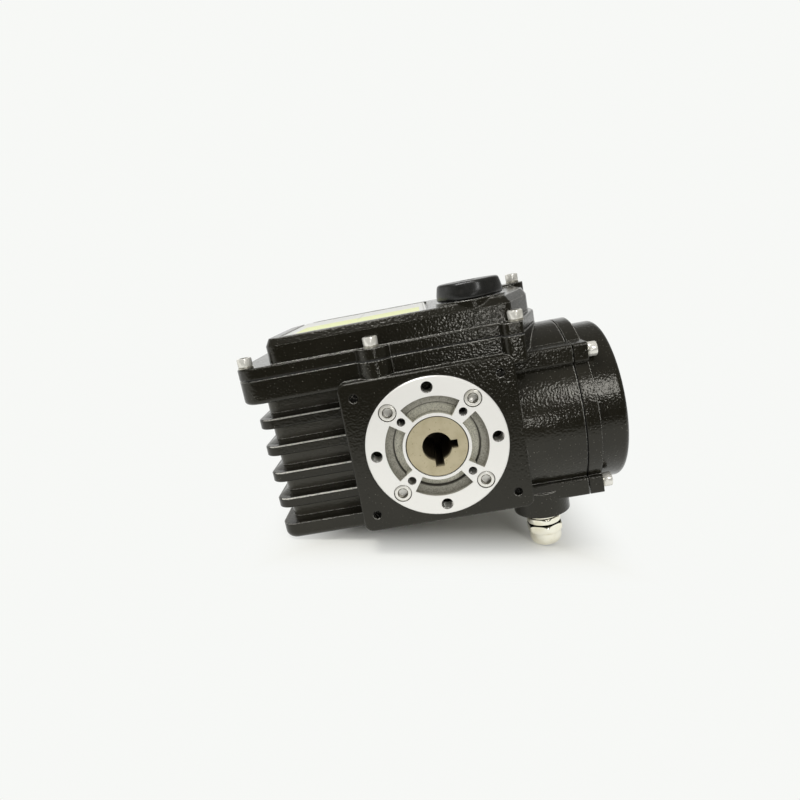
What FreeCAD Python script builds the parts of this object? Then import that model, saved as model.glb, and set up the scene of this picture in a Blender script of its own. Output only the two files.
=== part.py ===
import FreeCAD, Part
import math
import os

# Quarter-turn electric actuator, in millimetres.
# Origin: centre of the mounting flange's face, on the output axis.
# +X towards the terminal cap, +Y into the body, +Z towards the control cover.

V = FreeCAD.Vector
UP = V(0, 0, 1)
FRONTWARD = V(0, -1, 0)
RIGHTWARD = V(1, 0, 0)

# Gears: pitch diameters and teeth, then the direction from each axis to the next
wheel_pitch_d = 50.0
wheel_teeth = 40
worm_pitch_d = 18.0
worm_half_len = 17.0
gear_1_pitch_d = 63.0
gear_1_teeth = 63
motor_teeth = 14
pinion_1_teeth = 14
gear_2_teeth = 42
pinion_2_teeth = 18
shaft_gear_teeth = 26
feedback_teeth = 36
pot_teeth = 24
worm_to_pin_2 = 150.0
pin_2_to_pin_1 = 163.4
pin_1_to_motor = 156.7
tooth_width = 0.90
tooth_height = 0.95
wheel_start = 24.5
wheel_end = 37.5
level_gap = 2.0
shaft_gear_t = 5.0
gear_2_t = 4.4
gear_1_t = 4.0

# Mounting flange, output sleeve and the fits between them
flange_d = 82.0
flange_proud = 1.5
flange_depth = 12.0
flange_edge = 6.0
ring_screw_inset = 0.65
ring_screw_sink = 0.4
small_circle_inset = 10.0
spigot_inset = 13.0
spigot_end = 20.0
large_hole_r = 3.4
small_hole_r = 2.5
small_hole_depth = 14.0
recess_rib = 1.95
recess_edge = 5.3
recess_half_angle = 34.6
recess_shallow = 4.5
recess_deep = 7.0
sleeve_d = 35.5
sleeve_recess = 0.3
collar_end = 6.5
sleeve_gap = 0.3
square_bore_r = 8.5
bore_depth = 45.0
keyway_w = 5.0
keyway_reach = 11.9
journal_r = 15.0
journal_step = 1.0
seal_start = 7.0
bush_start = 10.5
bush_wall = 3.0
rear_journal_start = 60.0
sleeve_end = 74.0
running_gap = 0.05
slip_gap = 0.03
seat_gap = 0.3
wheel_hub_wall = 5.0
wheel_hub_start = 20.4
wheel_hub_end = 40.0
key_w = 8.0
key_depth = 3.5
key_stand = 3.5
key_start = 22.0
key_end = 38.0

# Stop cam, feedback gear and the stop screws
cam_hub_end = 53.0
cam_plate = (46.0, 50.0)
cam_plate_r = 18.0
stop_x = 9.8
stop_z = -20.0
stop_y = 48.0
stop_r = 3.0
stop_stand = 13.5
stop_nut = 10.0
stop_nut_t = 5.0
lug_half_w = 4.0
feedback_start = 53.0
feedback_end = 57.0
circlip_t = 1.2
circlip_depth = 1.0
circlip_width = 3.5

# Gear housing casting
body_back = 112.5
wall = 5.0
partition_t = 2.5
bearing_land = 1.7
case_left_inset = 1.2
case_front = 15.0
floor_below_pot = 20.5
plate_over_rim = 4.5
plate_corner_r = 5.0
front_wall_back = 18.0
corner_hole_x = 41.6
corner_hole_z = 35.35
corner_hole_r = 2.5
corner_hole_depth = 12.0
rim_over_plate = 10.1
rim_t = 14.1
rim_past_chamber = 7.7
rim_corner_r = 12.0
corner_screw_inset = 6.8
rim_front = 9.5
rim_right_near = 58.0
rim_right_far = 74.5
rim_bend_y = 56.0
motor_room = 3.0
chamber_room = 15.6
chamber_front = 32.0
fin_past_chamber = 4.2
fin_front = 20.0
fin_count = 4
fin_thickness = 6.2
fin_root_extra = 1.0
fin_below_rim = 11.8
fin_corner_r = 9.0
slab_t = 10.5
slab_round = 5.0

# Terminal compartment and its cap
comp_under_rim = 1.6
comp_below_case = 8.0
comp_length = 33.8
cap_seal_t = 0.8
cap_seal_land = 1.5
cap_flange_t = 8.0
cap_step = 5.0
cap_drum = 17.7
cap_wall = 4.0
cap_rim_r = 3.5
ear_inset = 15.5
ear_half = 5.5
ear_front = 6.5
ear_run = 13.0
ear_round = 1.5

# Cable gland under the terminal compartment
gland_past_case = 7.2
gland_before_comp = 31.0
gland_boss_r = 17.0
gland_boss_rise = 0.5
gland_thread_r = 8.0
gland_thread_len = 11.0
gland_washer_t = 0.9
gland_hex = 20.0
gland_hex_t = 7.8
gland_collar_r = 10.4
gland_neck_r = 8.6
gland_neck_t = 0.4
gland_neck_run = 4.0
gland_nut_t = 14.0
gland_nut_hex_t = 5.0
gland_nut_floor = 1.5
gland_cable_r = 4.5

# Control cover
gasket_t = 0.8
gasket_inset = 0.6
cover_flange_t = 6.6
raised_past_chamber = 12.8
raised_front = 11.0
raised_right_near = 53.5
raised_right_far = 71.5
raised_back_inset = 2.5
raised_height = 14.5
raised_step = 4.2
raised_inset = 2.4
cover_wall = 4.0
panel_margin = 8.8
panel_right = 9.0
panel_front = 17.5
panel_back_inset = 9.5
panel_depth = 1.0
plate_t = 0.8
plate_margin = 1.5
lug_r = 10.0
lug_front = 2.0
corner_lug_w = 12.0
pad_r = 7.0
pad_left = 54.0
pad_height = 1.6

# Hand knob and worm shaft
pedestal_r = 20.5
pedestal_height = 1.2
knob_r = 19.5
knob_t = 10.0
knob_edge_r = 2.5
knob_recesses = 8
knob_recess_r = 7.0
knob_recess_depth = 1.2
knob_cover_t = 3.0
knob_screw_head_t = 1.6
shaft_stub_r = 5.0
shaft_bearing_r = 6.0
shaft_body_r = 7.0
knob_seal_r = 8.0

# Gear plate, motor and electrical pieces
gear_plate_bottom = 39.0
gear_plate_t = 5.0
pin_r = 3.0
clip_t = 0.6
motor_r = 28.0
motor_can_wall = 1.0
motor_bell_t = 7.0
motor_end_bell_t = 9.0
motor_floor_gap = 2.5
core_inset = 8.0
rotor_r = 15.2
air_gap = 0.4
winding_t = 6.0
motor_shaft_r = 4.0
bearing_608_r = 11.0
bearing_608_t = 7.0
bearing_6901_r = 12.0
bearing_6901_t = 6.0
bearing_land_t = 2.5
board_past_case = 11.8
board_t = 1.6
standoff_r = 3.0
standoff_inset = 5.0
relay_l = 15.0
relay_w = 13.0
relay_h = 17.0
relay_pitch = 17.0
terminal_ways = 6
terminal_pitch = 7.0
terminal_l = 13.0
terminal_h = 16.0
pot_r = 10.0
pot_t = 13.0
pot_bracket_y = 58.6
pot_bracket_t = 1.5
pot_bracket_half_w = 12.0
capacitor_x = 33.0
capacitor_y = 74.0
capacitor_r = 11.0
capacitor_h = 42.0
clip_height = 14.0
clip_band = 10.0
clip_half_w = 4.0

# Fasteners
m5_head_r = 4.25
m5_head_h = 5.0
m5_socket = 4.0
m5_shank_r = 2.5
m6_head_r = 5.0
m6_head_h = 6.0
m6_socket = 5.0
m6_shank_r = 3.0
m4_head_r = 3.5
m4_head_h = 4.0
m4_socket = 3.0
m4_shank_r = 2.0
thread_gap = 0.05
clearance = 0.25
spring_washer_t = 1.3


def box(x0, x1, y0, y1, z0, z1):
    return Part.makeBox(x1 - x0, y1 - y0, z1 - z0, V(x0, y0, z0))


def rod(radius, start, end):
    along = end.sub(start)
    return Part.makeCylinder(radius, along.Length, start, along)


def upright(radius, x, y, z0, z1):
    return rod(radius, V(x, y, z0), V(x, y, z1))


def inward(radius, x, z, y0, y1):
    return rod(radius, V(x, y0, z), V(x, y1, z))


def sideways(radius, y, z, x0, x1):
    return rod(radius, V(x0, y, z), V(x1, y, z))


def join(shapes):
    whole = shapes[0]
    if len(shapes) > 1:
        whole = shapes[0].multiFuse(shapes[1:])
    return whole.removeSplitter()


def rounded_wire(corners, z):
    """A closed outline in a level plane from (x, y, corner radius) points."""
    arcs = []
    count = len(corners)
    for i in range(count):
        x, y, radius = corners[i]
        here = V(x, y, z)
        before = V(corners[i - 1][0], corners[i - 1][1], z).sub(here).normalize()
        after = V(corners[(i + 1) % count][0], corners[(i + 1) % count][1], z).sub(here).normalize()
        half = before.getAngle(after) / 2
        run = radius / math.tan(half)
        middle = before.add(after).normalize()
        centre = here.add(middle.multiply(radius / math.sin(half)))
        first = here.add(V(before).multiply(run))
        last = here.add(V(after).multiply(run))
        bulge = centre.add(here.sub(centre).normalize().multiply(radius))
        arcs.append((first, bulge, last))
    edges = []
    for i in range(count):
        first, bulge, last = arcs[i]
        edges.append(Part.Arc(first, bulge, last).toShape())
        following = arcs[(i + 1) % count][0]
        if last.distanceToPoint(following) > 1e-6:
            edges.append(Part.makeLine(last, following))
    return Part.Wire(edges)


def prism(corners, z0, z1):
    return Part.Face(rounded_wire(corners, z0)).extrude(V(0, 0, z1 - z0))


def rectangle(x0, x1, y0, y1, radius):
    return [(x0, y0, radius), (x1, y0, radius), (x1, y1, radius), (x0, y1, radius)]


def wall_plate(corners, y0, y1):
    """A prism drawn in X and Z that runs along Y."""
    solid = prism(corners, -y1, -y0)
    solid.rotate(V(0, 0, 0), RIGHTWARD, 90)
    return solid


def polar(radius, degrees):
    angle = math.radians(degrees)
    return radius * math.cos(angle), radius * math.sin(angle)


def placed(solid, point, direction):
    solid.Placement = FreeCAD.Placement(point, FreeCAD.Rotation(UP, direction))
    return solid


def hexagon(across_flats, z0, z1):
    corner_r = across_flats / math.sqrt(3)
    points = [V(*polar(corner_r, 60 * i), z0) for i in range(7)]
    return Part.Face(Part.makePolygon(points)).extrude(V(0, 0, z1 - z0))


def socket_screw(point, direction, head_r, head_h, socket, shank_r, length):
    """A cap screw whose head sits on a point and faces along a direction."""
    head = Part.makeCylinder(head_r, head_h)
    rim = [e for e in head.Edges if abs(e.BoundBox.ZMin - head_h) < 1e-6]
    head = head.makeFillet(head_h * 0.12, rim)
    shank = Part.makeCylinder(shank_r, length, V(0, 0, -length))
    screw = join([head, shank]).cut(hexagon(socket, head_h * 0.45, head_h + 1))
    return placed(screw, point, direction)


def spring_washer(point, direction, inner_r, outer_r, height):
    ring = Part.makeCylinder(outer_r, height).cut(Part.makeCylinder(inner_r, height))
    split = Part.makeBox(outer_r, 0.6, height, V(0, -0.3, 0))
    return placed(ring.cut(split), point, direction)


def bearing(radius, bore_r, point, direction, width):
    """A ball bearing: two rings and a shielded gap, as one closed ring."""
    ring = Part.makeCylinder(radius, width).cut(Part.makeCylinder(bore_r, width))
    mid = (radius + bore_r) / 2
    band = (radius - bore_r) * 0.22
    for z in (0, width - 0.5):
        groove = Part.makeCylinder(mid + band, 0.5, V(0, 0, z))
        ring = ring.cut(groove.cut(Part.makeCylinder(mid - band, 0.5, V(0, 0, z))))
    return placed(ring, point, direction)


def involute(angle):
    return math.tan(angle) - angle


def gear(teeth, module, z0, z1, phase_degrees):
    """A spur gear about Z with straight-sided teeth thinned for backlash."""
    pitch_r = teeth * module / 2
    pressure = math.radians(20)
    base_r = pitch_r * math.cos(pressure)
    root_r = pitch_r - 1.25 * module
    tip_r = pitch_r + tooth_height * module
    levels = [root_r, tip_r]
    if teeth < 30:
        levels = [root_r, max(pitch_r, base_r), tip_r]
    half_at_pitch = tooth_width * math.pi / (2 * teeth)
    flank = []
    for radius in levels:
        tilt = math.acos(min(1.0, base_r / max(radius, base_r)))
        flank.append((radius, half_at_pitch + involute(pressure) - involute(tilt)))
    points = []
    for tooth in range(teeth):
        centre = math.radians(phase_degrees) + 2 * math.pi * tooth / teeth
        for radius, half in flank:
            points.append(V(radius * math.cos(centre - half), radius * math.sin(centre - half), z0))
        for radius, half in reversed(flank):
            points.append(V(radius * math.cos(centre + half), radius * math.sin(centre + half), z0))
    points.append(points[0])
    return Part.Face(Part.makePolygon(points)).extrude(V(0, 0, z1 - z0))


def turned_inward(solid):
    """Lay a solid made about Z along Y: height becomes depth, +Y becomes -Z."""
    solid.rotate(V(0, 0, 0), RIGHTWARD, -90)
    return solid


def direction_of(start, end):
    return math.degrees(math.atan2(end.y - start.y, end.x - start.x))


def mating_phase(line_angle, teeth):
    return line_angle + 180 + 180.0 / teeth


# Places worked out from the driving dimensions

worm_module = wheel_pitch_d / wheel_teeth
fine_module = gear_1_pitch_d / gear_1_teeth
worm_x = (wheel_pitch_d + worm_pitch_d) / 2
worm_y = (wheel_start + wheel_end) / 2
pot_z = -(feedback_teeth + pot_teeth) * fine_module / 2

reach_1 = (motor_teeth + gear_1_teeth) * fine_module / 2
reach_2 = (pinion_1_teeth + gear_2_teeth) * fine_module / 2
reach_3 = (pinion_2_teeth + shaft_gear_teeth) * worm_module / 2
shaft_gear_tip_r = (shaft_gear_teeth / 2 + tooth_height) * worm_module
worm_at = V(worm_x, worm_y, 0)
pin_2_at = worm_at.add(V(*polar(reach_3, worm_to_pin_2), 0))
pin_1_at = pin_2_at.add(V(*polar(reach_2, pin_2_to_pin_1), 0))
motor_at = pin_1_at.add(V(*polar(reach_1, pin_1_to_motor), 0))
motor_x = motor_at.x
motor_y = motor_at.y

gear_plate_top = gear_plate_bottom + gear_plate_t
level_a = (gear_plate_top + level_gap, gear_plate_top + level_gap + shaft_gear_t)
level_b_start = level_a[1] + level_gap / 2
level_b = (level_b_start, level_b_start + gear_2_t)
level_c = (gear_plate_top + 7 * level_gap, gear_plate_top + 7 * level_gap + gear_1_t)

large_pcd = flange_d - 2 * flange_edge
ring_screw_pcd = large_pcd - 2 * ring_screw_inset
small_pcd = large_pcd - 2 * small_circle_inset
spigot_d = flange_d - 2 * spigot_inset
recess_inner_r = sleeve_d / 2 + recess_rib
recess_step_r = recess_inner_r + recess_edge
recess_outer_r = large_pcd / 2 - recess_edge
bush_outer_r = journal_r + bush_wall
ring_bore_r = sleeve_d / 2 + sleeve_gap
rear_journal_r = journal_r - journal_step
wheel_hub_r = journal_r + wheel_hub_wall
circlip_groove_r = journal_r - circlip_depth
circlip_r = circlip_groove_r + circlip_width

case_right = worm_x + bearing_6901_r + bearing_land + partition_t
partition = case_right - partition_t
case_left = case_left_inset - case_right
cavity_left = case_left + wall
case_bottom = pot_z - floor_below_pot
case_floor = case_bottom + wall
rim_top = gear_plate_top + rim_over_plate
rim_bottom = rim_top - rim_t
plate_top = rim_bottom + plate_over_rim
plate_bottom = case_floor
chamber_left = motor_x - motor_r - wall - chamber_room
chamber_back = motor_y + motor_r + wall + motor_room
rim_left = chamber_left - rim_past_chamber
fin_left = chamber_left - fin_past_chamber
slab_top = case_bottom + slab_t
first_fin_top = rim_bottom - fin_below_rim
fin_pitch = (first_fin_top - slab_top) / fin_count
fin_tops = [first_fin_top - fin_pitch * i for i in range(fin_count)]

comp_top = rim_top - comp_under_rim
comp_bottom = case_bottom - comp_below_case
comp_r = (comp_top - comp_bottom) / 2
comp_z = (comp_top + comp_bottom) / 2
comp_y = body_back - comp_r
comp_bore_r = comp_r - wall
comp_end = case_right + comp_length
ear_offset = comp_r - ear_inset
cap_flange_start = comp_end + cap_seal_t
cap_flange_end = cap_flange_start + cap_flange_t
cap_drum_r = comp_r - cap_step
cap_reach = cap_flange_end + cap_drum
gland_x = case_right + gland_past_case
gland_y = comp_y - gland_before_comp
gland_boss_bottom = comp_bottom + gland_boss_rise
gland_top = gland_boss_bottom - gland_washer_t
gland_nut_top = gland_top - gland_hex_t - gland_neck_t
gland_nut_bottom = gland_nut_top - gland_nut_t

cover_bottom = rim_top + gasket_t
cover_flange_top = cover_bottom + cover_flange_t
raised_top = cover_flange_top + raised_height
raised_step_z = raised_top - raised_step
raised_left = chamber_left + raised_past_chamber
raised_back = body_back - raised_back_inset
cover_ceiling = raised_top - cover_wall
panel_left = raised_left + panel_margin
panel_back = body_back - panel_back_inset
pad_top = raised_top + pad_height
pedestal_top = raised_top + pedestal_height
knob_bottom = pedestal_top + seat_gap
knob_top = knob_bottom + knob_t
shaft_top = knob_top - knob_cover_t
head_room = m5_head_r + 0.7

motor_bottom = case_floor + motor_floor_gap + motor_end_bell_t
motor_top = gear_plate_bottom - motor_bell_t
core_bottom = motor_bottom + core_inset
core_top = motor_top - core_inset
board_x = case_right + board_past_case
board_half = comp_bore_r * 0.62

cover_screw_places = (
    V(rim_left + corner_screw_inset, rim_front + head_room + 1.0, cover_flange_top),
    V(-26.5, lug_front + head_room - 0.5, cover_flange_top),
    V(rim_right_near - 3.3, lug_front + head_room - 0.5, cover_flange_top),
    V(rim_right_far - 3.5, raised_back - pad_r, pad_top),
    V(rim_left + 17.0, body_back - 12.0, cover_flange_top),
    V(-10.0, body_back + lug_r - head_room, cover_flange_top),
)
front_lug = cover_screw_places[1]
far_pad = cover_screw_places[3]
back_lug = cover_screw_places[5]
ear_places = [
    (comp_y + sy * ear_offset, comp_z + sz * ear_offset) for sy in (-1, 1) for sz in (-1, 1)
]
ring_screw_places = [polar(ring_screw_pcd / 2, 45 + 90 * i) for i in range(4)]
pillar_places = (
    (chamber_left + 18.0, chamber_front + 11.0),
    (chamber_left + 18.0, chamber_back - 11.0),
    (case_right - 11.7, 99.5),
)
front_ledge_place = (-14.0, 25.0)
gear_plate_screw_places = pillar_places + (front_ledge_place,)


def rim_outline(inset):
    return [
        (rim_left + inset, rim_front + inset, rim_corner_r - inset),
        (rim_right_near - inset, rim_front + inset, 4.0),
        (rim_right_far - inset, rim_bend_y, 30.0),
        (rim_right_far - inset, body_back - inset, 10.0),
        (rim_left + inset, body_back - inset, 28.0 - inset),
    ]


def screw_lugs(z0, z1):
    """Lugs that carry the cover screws outside the straight walls."""
    front = upright(lug_r, front_lug.x, lug_front + lug_r, z0, z1)
    back = upright(lug_r, back_lug.x, body_back - 1.5, z0, z1)
    far = upright(pad_r, far_pad.x, far_pad.y, z0, z1)
    corner = prism(
        [
            (rim_right_near - corner_lug_w, lug_front, 4.0),
            (rim_right_near, lug_front, 2.0),
            (rim_right_near, rim_front + 6.0, 1.0),
            (rim_right_near - corner_lug_w, rim_front + 6.0, 1.0),
        ],
        z0,
        z1,
    )
    return [front, back, far, corner]


def ear_blocks(x0, x1):
    """Square lugs for the cap screws, run back into the round wall."""
    blocks = []
    for y, z in ear_places:
        side = 1 if y > comp_y else -1
        outer = y + side * ear_front
        inner = y - side * ear_run
        block = box(x0, x1, min(outer, inner), max(outer, inner), z - ear_half, z + ear_half)
        long_edges = [
            e
            for e in block.Edges
            if e.BoundBox.XLength > 1e-6 and abs(e.CenterOfMass.y - outer) < 1e-6
        ]
        blocks.append(block.makeFillet(ear_round, long_edges))
    return blocks


def chamber_outline():
    return [
        (chamber_left, chamber_front, 8.0),
        (case_left + wall, chamber_front, 1.0),
        (case_left + wall, chamber_back, 1.0),
        (chamber_left, chamber_back, 8.0),
    ]


def fin_outline():
    return [
        (fin_left, fin_front, fin_corner_r),
        (case_left + wall, fin_front, 1.0),
        (case_left + wall, body_back, 1.0),
        (fin_left, body_back, fin_corner_r + 3.0),
    ]


def cooling_fin(top, bottom):
    """One fin round the motor chamber, with drafted faces and soft edges."""
    outline = fin_outline()
    slab = prism(outline, bottom, top)
    long_edges = [e for e in slab.Edges if abs(e.BoundBox.ZMax - e.BoundBox.ZMin) < 1e-6]
    slab = slab.makeFillet(1.0, long_edges)
    root = chamber_outline()
    over_root = rounded_wire(root, top + fin_root_extra)
    under_root = rounded_wire(root, bottom - fin_root_extra)
    upper = Part.makeLoft([rounded_wire(outline, top - 0.6), over_root], True)
    lower = Part.makeLoft([under_root, rounded_wire(outline, bottom + 0.6)], True)
    return [slab, upper, lower]


def gear_housing():
    """One casting: plate, gear case, finned motor chamber, rim, terminal compartment."""
    plate = wall_plate(
        [
            (-case_right, plate_bottom, plate_corner_r),
            (case_right, plate_bottom, plate_corner_r),
            (case_right, plate_top, plate_corner_r),
            (-case_right, plate_top, plate_corner_r),
        ],
        flange_proud,
        front_wall_back,
    )
    face_edges = [e for e in plate.Edges if abs(e.BoundBox.YMax - flange_proud) < 1e-6]
    plate = plate.makeFillet(1.2, face_edges)
    case = prism(
        [
            (case_left, case_front, 1.0),
            (case_right, case_front, 1.0),
            (case_right, body_back, 1.0),
            (case_left, body_back, 1.0),
        ],
        case_bottom,
        rim_top,
    )
    chamber = prism(chamber_outline(), case_bottom, rim_top)
    rim = prism(rim_outline(0), rim_bottom, rim_top)
    low_edges = [e for e in rim.Edges if abs(e.BoundBox.ZMax - rim_bottom) < 1e-6]
    rim = rim.makeFillet(2.5, low_edges)
    base_slab = prism(fin_outline(), case_bottom, slab_top)
    bottom_edges = [
        e
        for e in base_slab.Edges
        if abs(e.BoundBox.ZMax - case_bottom) < 1e-6 and e.BoundBox.XMax < case_left
    ]
    base_slab = base_slab.makeFillet(slab_round, bottom_edges)
    drum = sideways(comp_r, comp_y, comp_z, partition, comp_end)
    outer = [plate, case, chamber, rim, base_slab, drum]
    for top in fin_tops:
        outer += cooling_fin(top, top - fin_thickness)
    outer += screw_lugs(rim_bottom - 1.0, rim_top)
    outer += ear_blocks(case_right - 1.0, comp_end)
    outer.append(upright(gland_boss_r, gland_x, gland_y, gland_boss_bottom, comp_z - ear_offset))
    body = join(outer)

    hollow_case = box(cavity_left, partition, front_wall_back, body_back - wall, case_floor, rim_top)
    hollow_chamber = prism(
        [
            (chamber_left + wall, chamber_front + wall, 4.0),
            (cavity_left + 1.0, chamber_front + wall, 0.5),
            (cavity_left + 1.0, chamber_back - wall, 0.5),
            (chamber_left + wall, chamber_back - wall, 4.0),
        ],
        case_floor,
        rim_top,
    )
    hollow_drum = sideways(comp_bore_r, comp_y, comp_z, case_right, comp_end)
    body = body.cut([hollow_case, hollow_chamber, hollow_drum])

    rear_bush_r = rear_journal_r + bush_wall
    bearing_top = case_floor + bearing_land_t + bearing_6901_t
    stop_half_w = stop_x + stop_r + 2.5
    rear_boss = inward(rear_bush_r + 2.0, 0, 0, rear_journal_start + 1.0, body_back - wall)
    floor_boss = upright(bearing_6901_r + 3.0, worm_x, worm_y, case_floor, bearing_top + 0.5)
    stop_block = box(-stop_half_w, stop_half_w, stop_y - 6.0, stop_y + 4.4, case_floor, case_floor + 8.0)
    inside = [rear_boss, floor_boss, stop_block]
    for x, y in pillar_places:
        inside.append(upright(5.0, x, y, case_floor, gear_plate_bottom))
    ledge_x, ledge_y = front_ledge_place
    ledge_z = gear_plate_bottom - 9.0
    ledge_back = front_wall_back - 1.0
    inside.append(upright(6.0, ledge_x, ledge_y, ledge_z, gear_plate_bottom))
    inside.append(box(ledge_x - 6.0, ledge_x + 6.0, ledge_back, ledge_y, ledge_z, gear_plate_bottom))
    for x, z in ring_screw_places:
        inside.append(inward(6.0, x, z, front_wall_back - 1.0, front_wall_back + 4.0))
    body = join([body] + inside)

    cuts = [
        inward(flange_d / 2 + slip_gap, 0, 0, 0, flange_depth),
        inward(spigot_d / 2 + slip_gap, 0, 0, 0, front_wall_back + 5.0),
        inward(rear_bush_r + slip_gap, 0, 0, rear_journal_start, sleeve_end + 1.0),
        upright(bearing_6901_r + slip_gap, worm_x, worm_y, case_floor + bearing_land_t, bearing_top + 1.0),
        upright(shaft_body_r, worm_x, worm_y, case_floor + 0.5, case_floor + 4.0),
        upright(gland_thread_r + thread_gap, gland_x, gland_y, gland_boss_bottom, comp_z - comp_r / 2),
        sideways(7.0, body_back - 22.0, 18.0, partition - 1.0, case_right + 1.0),
        shaft_gear_pocket(),
    ]
    for sx in (-1, 1):
        cuts.append(upright(stop_r + thread_gap, sx * stop_x, stop_y, case_bottom, stop_z))
        for sz in (-1, 1):
            hole = inward(corner_hole_r, sx * corner_hole_x, sz * corner_hole_z, 0, corner_hole_depth)
            hole.translate(V(0, flange_proud, 0))
            cuts.append(hole)
    for x, z in ring_screw_places:
        cuts.append(inward(m6_shank_r + thread_gap, x, z, flange_depth, front_wall_back + 2.5))
    for place in cover_screw_places:
        cuts.append(upright(m5_shank_r + thread_gap, place.x, place.y, rim_top - 11.0, rim_top))
    for y, z in ear_places:
        cuts.append(sideways(m5_shank_r + thread_gap, y, z, comp_end - 13.0, comp_end))
    for x, y in gear_plate_screw_places:
        cuts.append(upright(m4_shank_r + thread_gap, x, y, gear_plate_bottom - 8.5, gear_plate_bottom))
    return body.cut(cuts)


def shaft_gear_pocket():
    """Room for the worm-shaft gear where it reaches past the partition under the rim."""
    return upright(shaft_gear_tip_r + 0.8, worm_x, worm_y, level_a[0] - 0.5, cover_bottom)


def mounting_flange_ring():
    """Machined ring with bolt holes, arc recesses and the spigot that holds the front bush."""
    ring = inward(flange_d / 2, 0, 0, 0, flange_depth)
    edge = [e for e in ring.Edges if e.BoundBox.YMax < 1e-6 and len(e.Vertexes) == 1]
    ring = ring.makeChamfer(0.5, edge)
    ring = join([ring, inward(spigot_d / 2, 0, 0, flange_depth - 1.0, spigot_end)])
    cuts = [
        inward(ring_bore_r, 0, 0, 0, seal_start),
        inward(bush_outer_r + slip_gap, 0, 0, seal_start - 0.5, spigot_end),
    ]
    for i in range(4):
        x, z = polar(large_pcd / 2, 90 * i)
        cuts.append(inward(large_hole_r, x, z, 0, flange_depth))
        x, z = polar(small_pcd / 2, 45 + 90 * i)
        cuts.append(inward(small_hole_r, x, z, 0, small_hole_depth))
    for x, z in ring_screw_places:
        cuts.append(inward(m6_head_r + clearance, x, z, 0, m6_head_h + ring_screw_sink))
        cuts.append(inward(m6_shank_r + clearance, x, z, 0, flange_depth))
    for i in range(4):
        for inner, outer, depth in (
            (recess_inner_r, recess_step_r, recess_deep),
            (recess_step_r - 0.01, recess_outer_r, recess_shallow),
        ):
            cuts.append(arc_pocket(inner, outer, depth, 90 * i))
    return ring.cut(cuts)


def arc_pocket(inner_r, outer_r, depth, middle):
    """A cast pocket between two radii, swept either side of an angle, in the Y=0 face."""
    first = middle - recess_half_angle
    last = middle + recess_half_angle
    corners = []
    for radius, angle in ((outer_r, first), (outer_r, middle), (outer_r, last)):
        x, z = polar(radius, angle)
        corners.append(V(x, 0, z))
    back = []
    for radius, angle in ((inner_r, last), (inner_r, middle), (inner_r, first)):
        x, z = polar(radius, angle)
        back.append(V(x, 0, z))
    wire = Part.Wire(
        [
            Part.Arc(*corners).toShape(),
            Part.makeLine(corners[2], back[0]),
            Part.Arc(*back).toShape(),
            Part.makeLine(back[2], corners[0]),
        ]
    )
    return Part.Face(wire).extrude(V(0, depth, 0))


def flange_ring_screws():
    seat = m6_head_h + ring_screw_sink
    length = spigot_end - seat
    return [
        socket_screw(V(x, seat, z), FRONTWARD, m6_head_r, m6_head_h, m6_socket, m6_shank_r, length)
        for x, z in ring_screw_places
    ]


def output_sleeve():
    """Hollow output shaft: collar, journals, two-keyway bore for the valve stem."""
    groove_start = feedback_end + 0.1
    body = join(
        [
            inward(sleeve_d / 2, 0, 0, sleeve_recess, collar_end),
            inward(journal_r, 0, 0, collar_end - 1.0, rear_journal_start),
            inward(rear_journal_r, 0, 0, rear_journal_start - 1.0, sleeve_end),
        ]
    )
    mouth = [
        e for e in body.Edges if abs(e.BoundBox.YMax - sleeve_recess) < 1e-6 and len(e.Vertexes) == 1
    ]
    body = body.makeChamfer(0.4, mouth)
    half_key = keyway_w / 2
    cuts = [
        inward(square_bore_r, 0, 0, 0, bore_depth),
        box(0, keyway_reach, 0, bore_depth, -half_key, half_key),
        box(-half_key, half_key, 0, bore_depth, -keyway_reach, 0),
        box(-key_w / 2, key_w / 2, key_start, key_end, journal_r - key_depth, journal_r + 1.0),
        inward(journal_r + 1.0, 0, 0, groove_start, groove_start + circlip_t + 0.1).cut(
            inward(circlip_groove_r, 0, 0, groove_start, groove_start + circlip_t + 0.1)
        ),
    ]
    return body.cut(cuts)


def output_shaft_seal():
    return inward(bush_outer_r, 0, 0, seal_start, bush_start).cut(
        inward(journal_r + running_gap, 0, 0, seal_start, bush_start)
    )


def front_bush():
    return inward(bush_outer_r, 0, 0, bush_start, spigot_end).cut(
        inward(journal_r + running_gap, 0, 0, bush_start, spigot_end)
    )


def rear_bush():
    start = rear_journal_start + 1.5
    return inward(rear_journal_r + bush_wall, 0, 0, start, sleeve_end).cut(
        inward(rear_journal_r + running_gap, 0, 0, start, sleeve_end)
    )


def worm_wheel():
    """Bronze wheel: toothed rim on a keyed hub."""
    rim = turned_inward(gear(wheel_teeth, worm_module, wheel_start, wheel_end, 180.0 / wheel_teeth))
    hub = inward(wheel_hub_r, 0, 0, wheel_hub_start, wheel_hub_end)
    wheel = join([rim, hub])
    return wheel.cut(
        [
            inward(journal_r + slip_gap, 0, 0, wheel_hub_start, wheel_hub_end),
            box(
                -key_w / 2 - slip_gap,
                key_w / 2 + slip_gap,
                wheel_hub_start,
                wheel_hub_end,
                0,
                journal_r + key_stand + 0.1,
            ),
        ]
    )


def wheel_key():
    return box(
        -key_w / 2 + slip_gap,
        key_w / 2 - slip_gap,
        key_start + 0.1,
        key_end - 0.1,
        journal_r - key_depth + slip_gap,
        journal_r + key_stand,
    )


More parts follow.
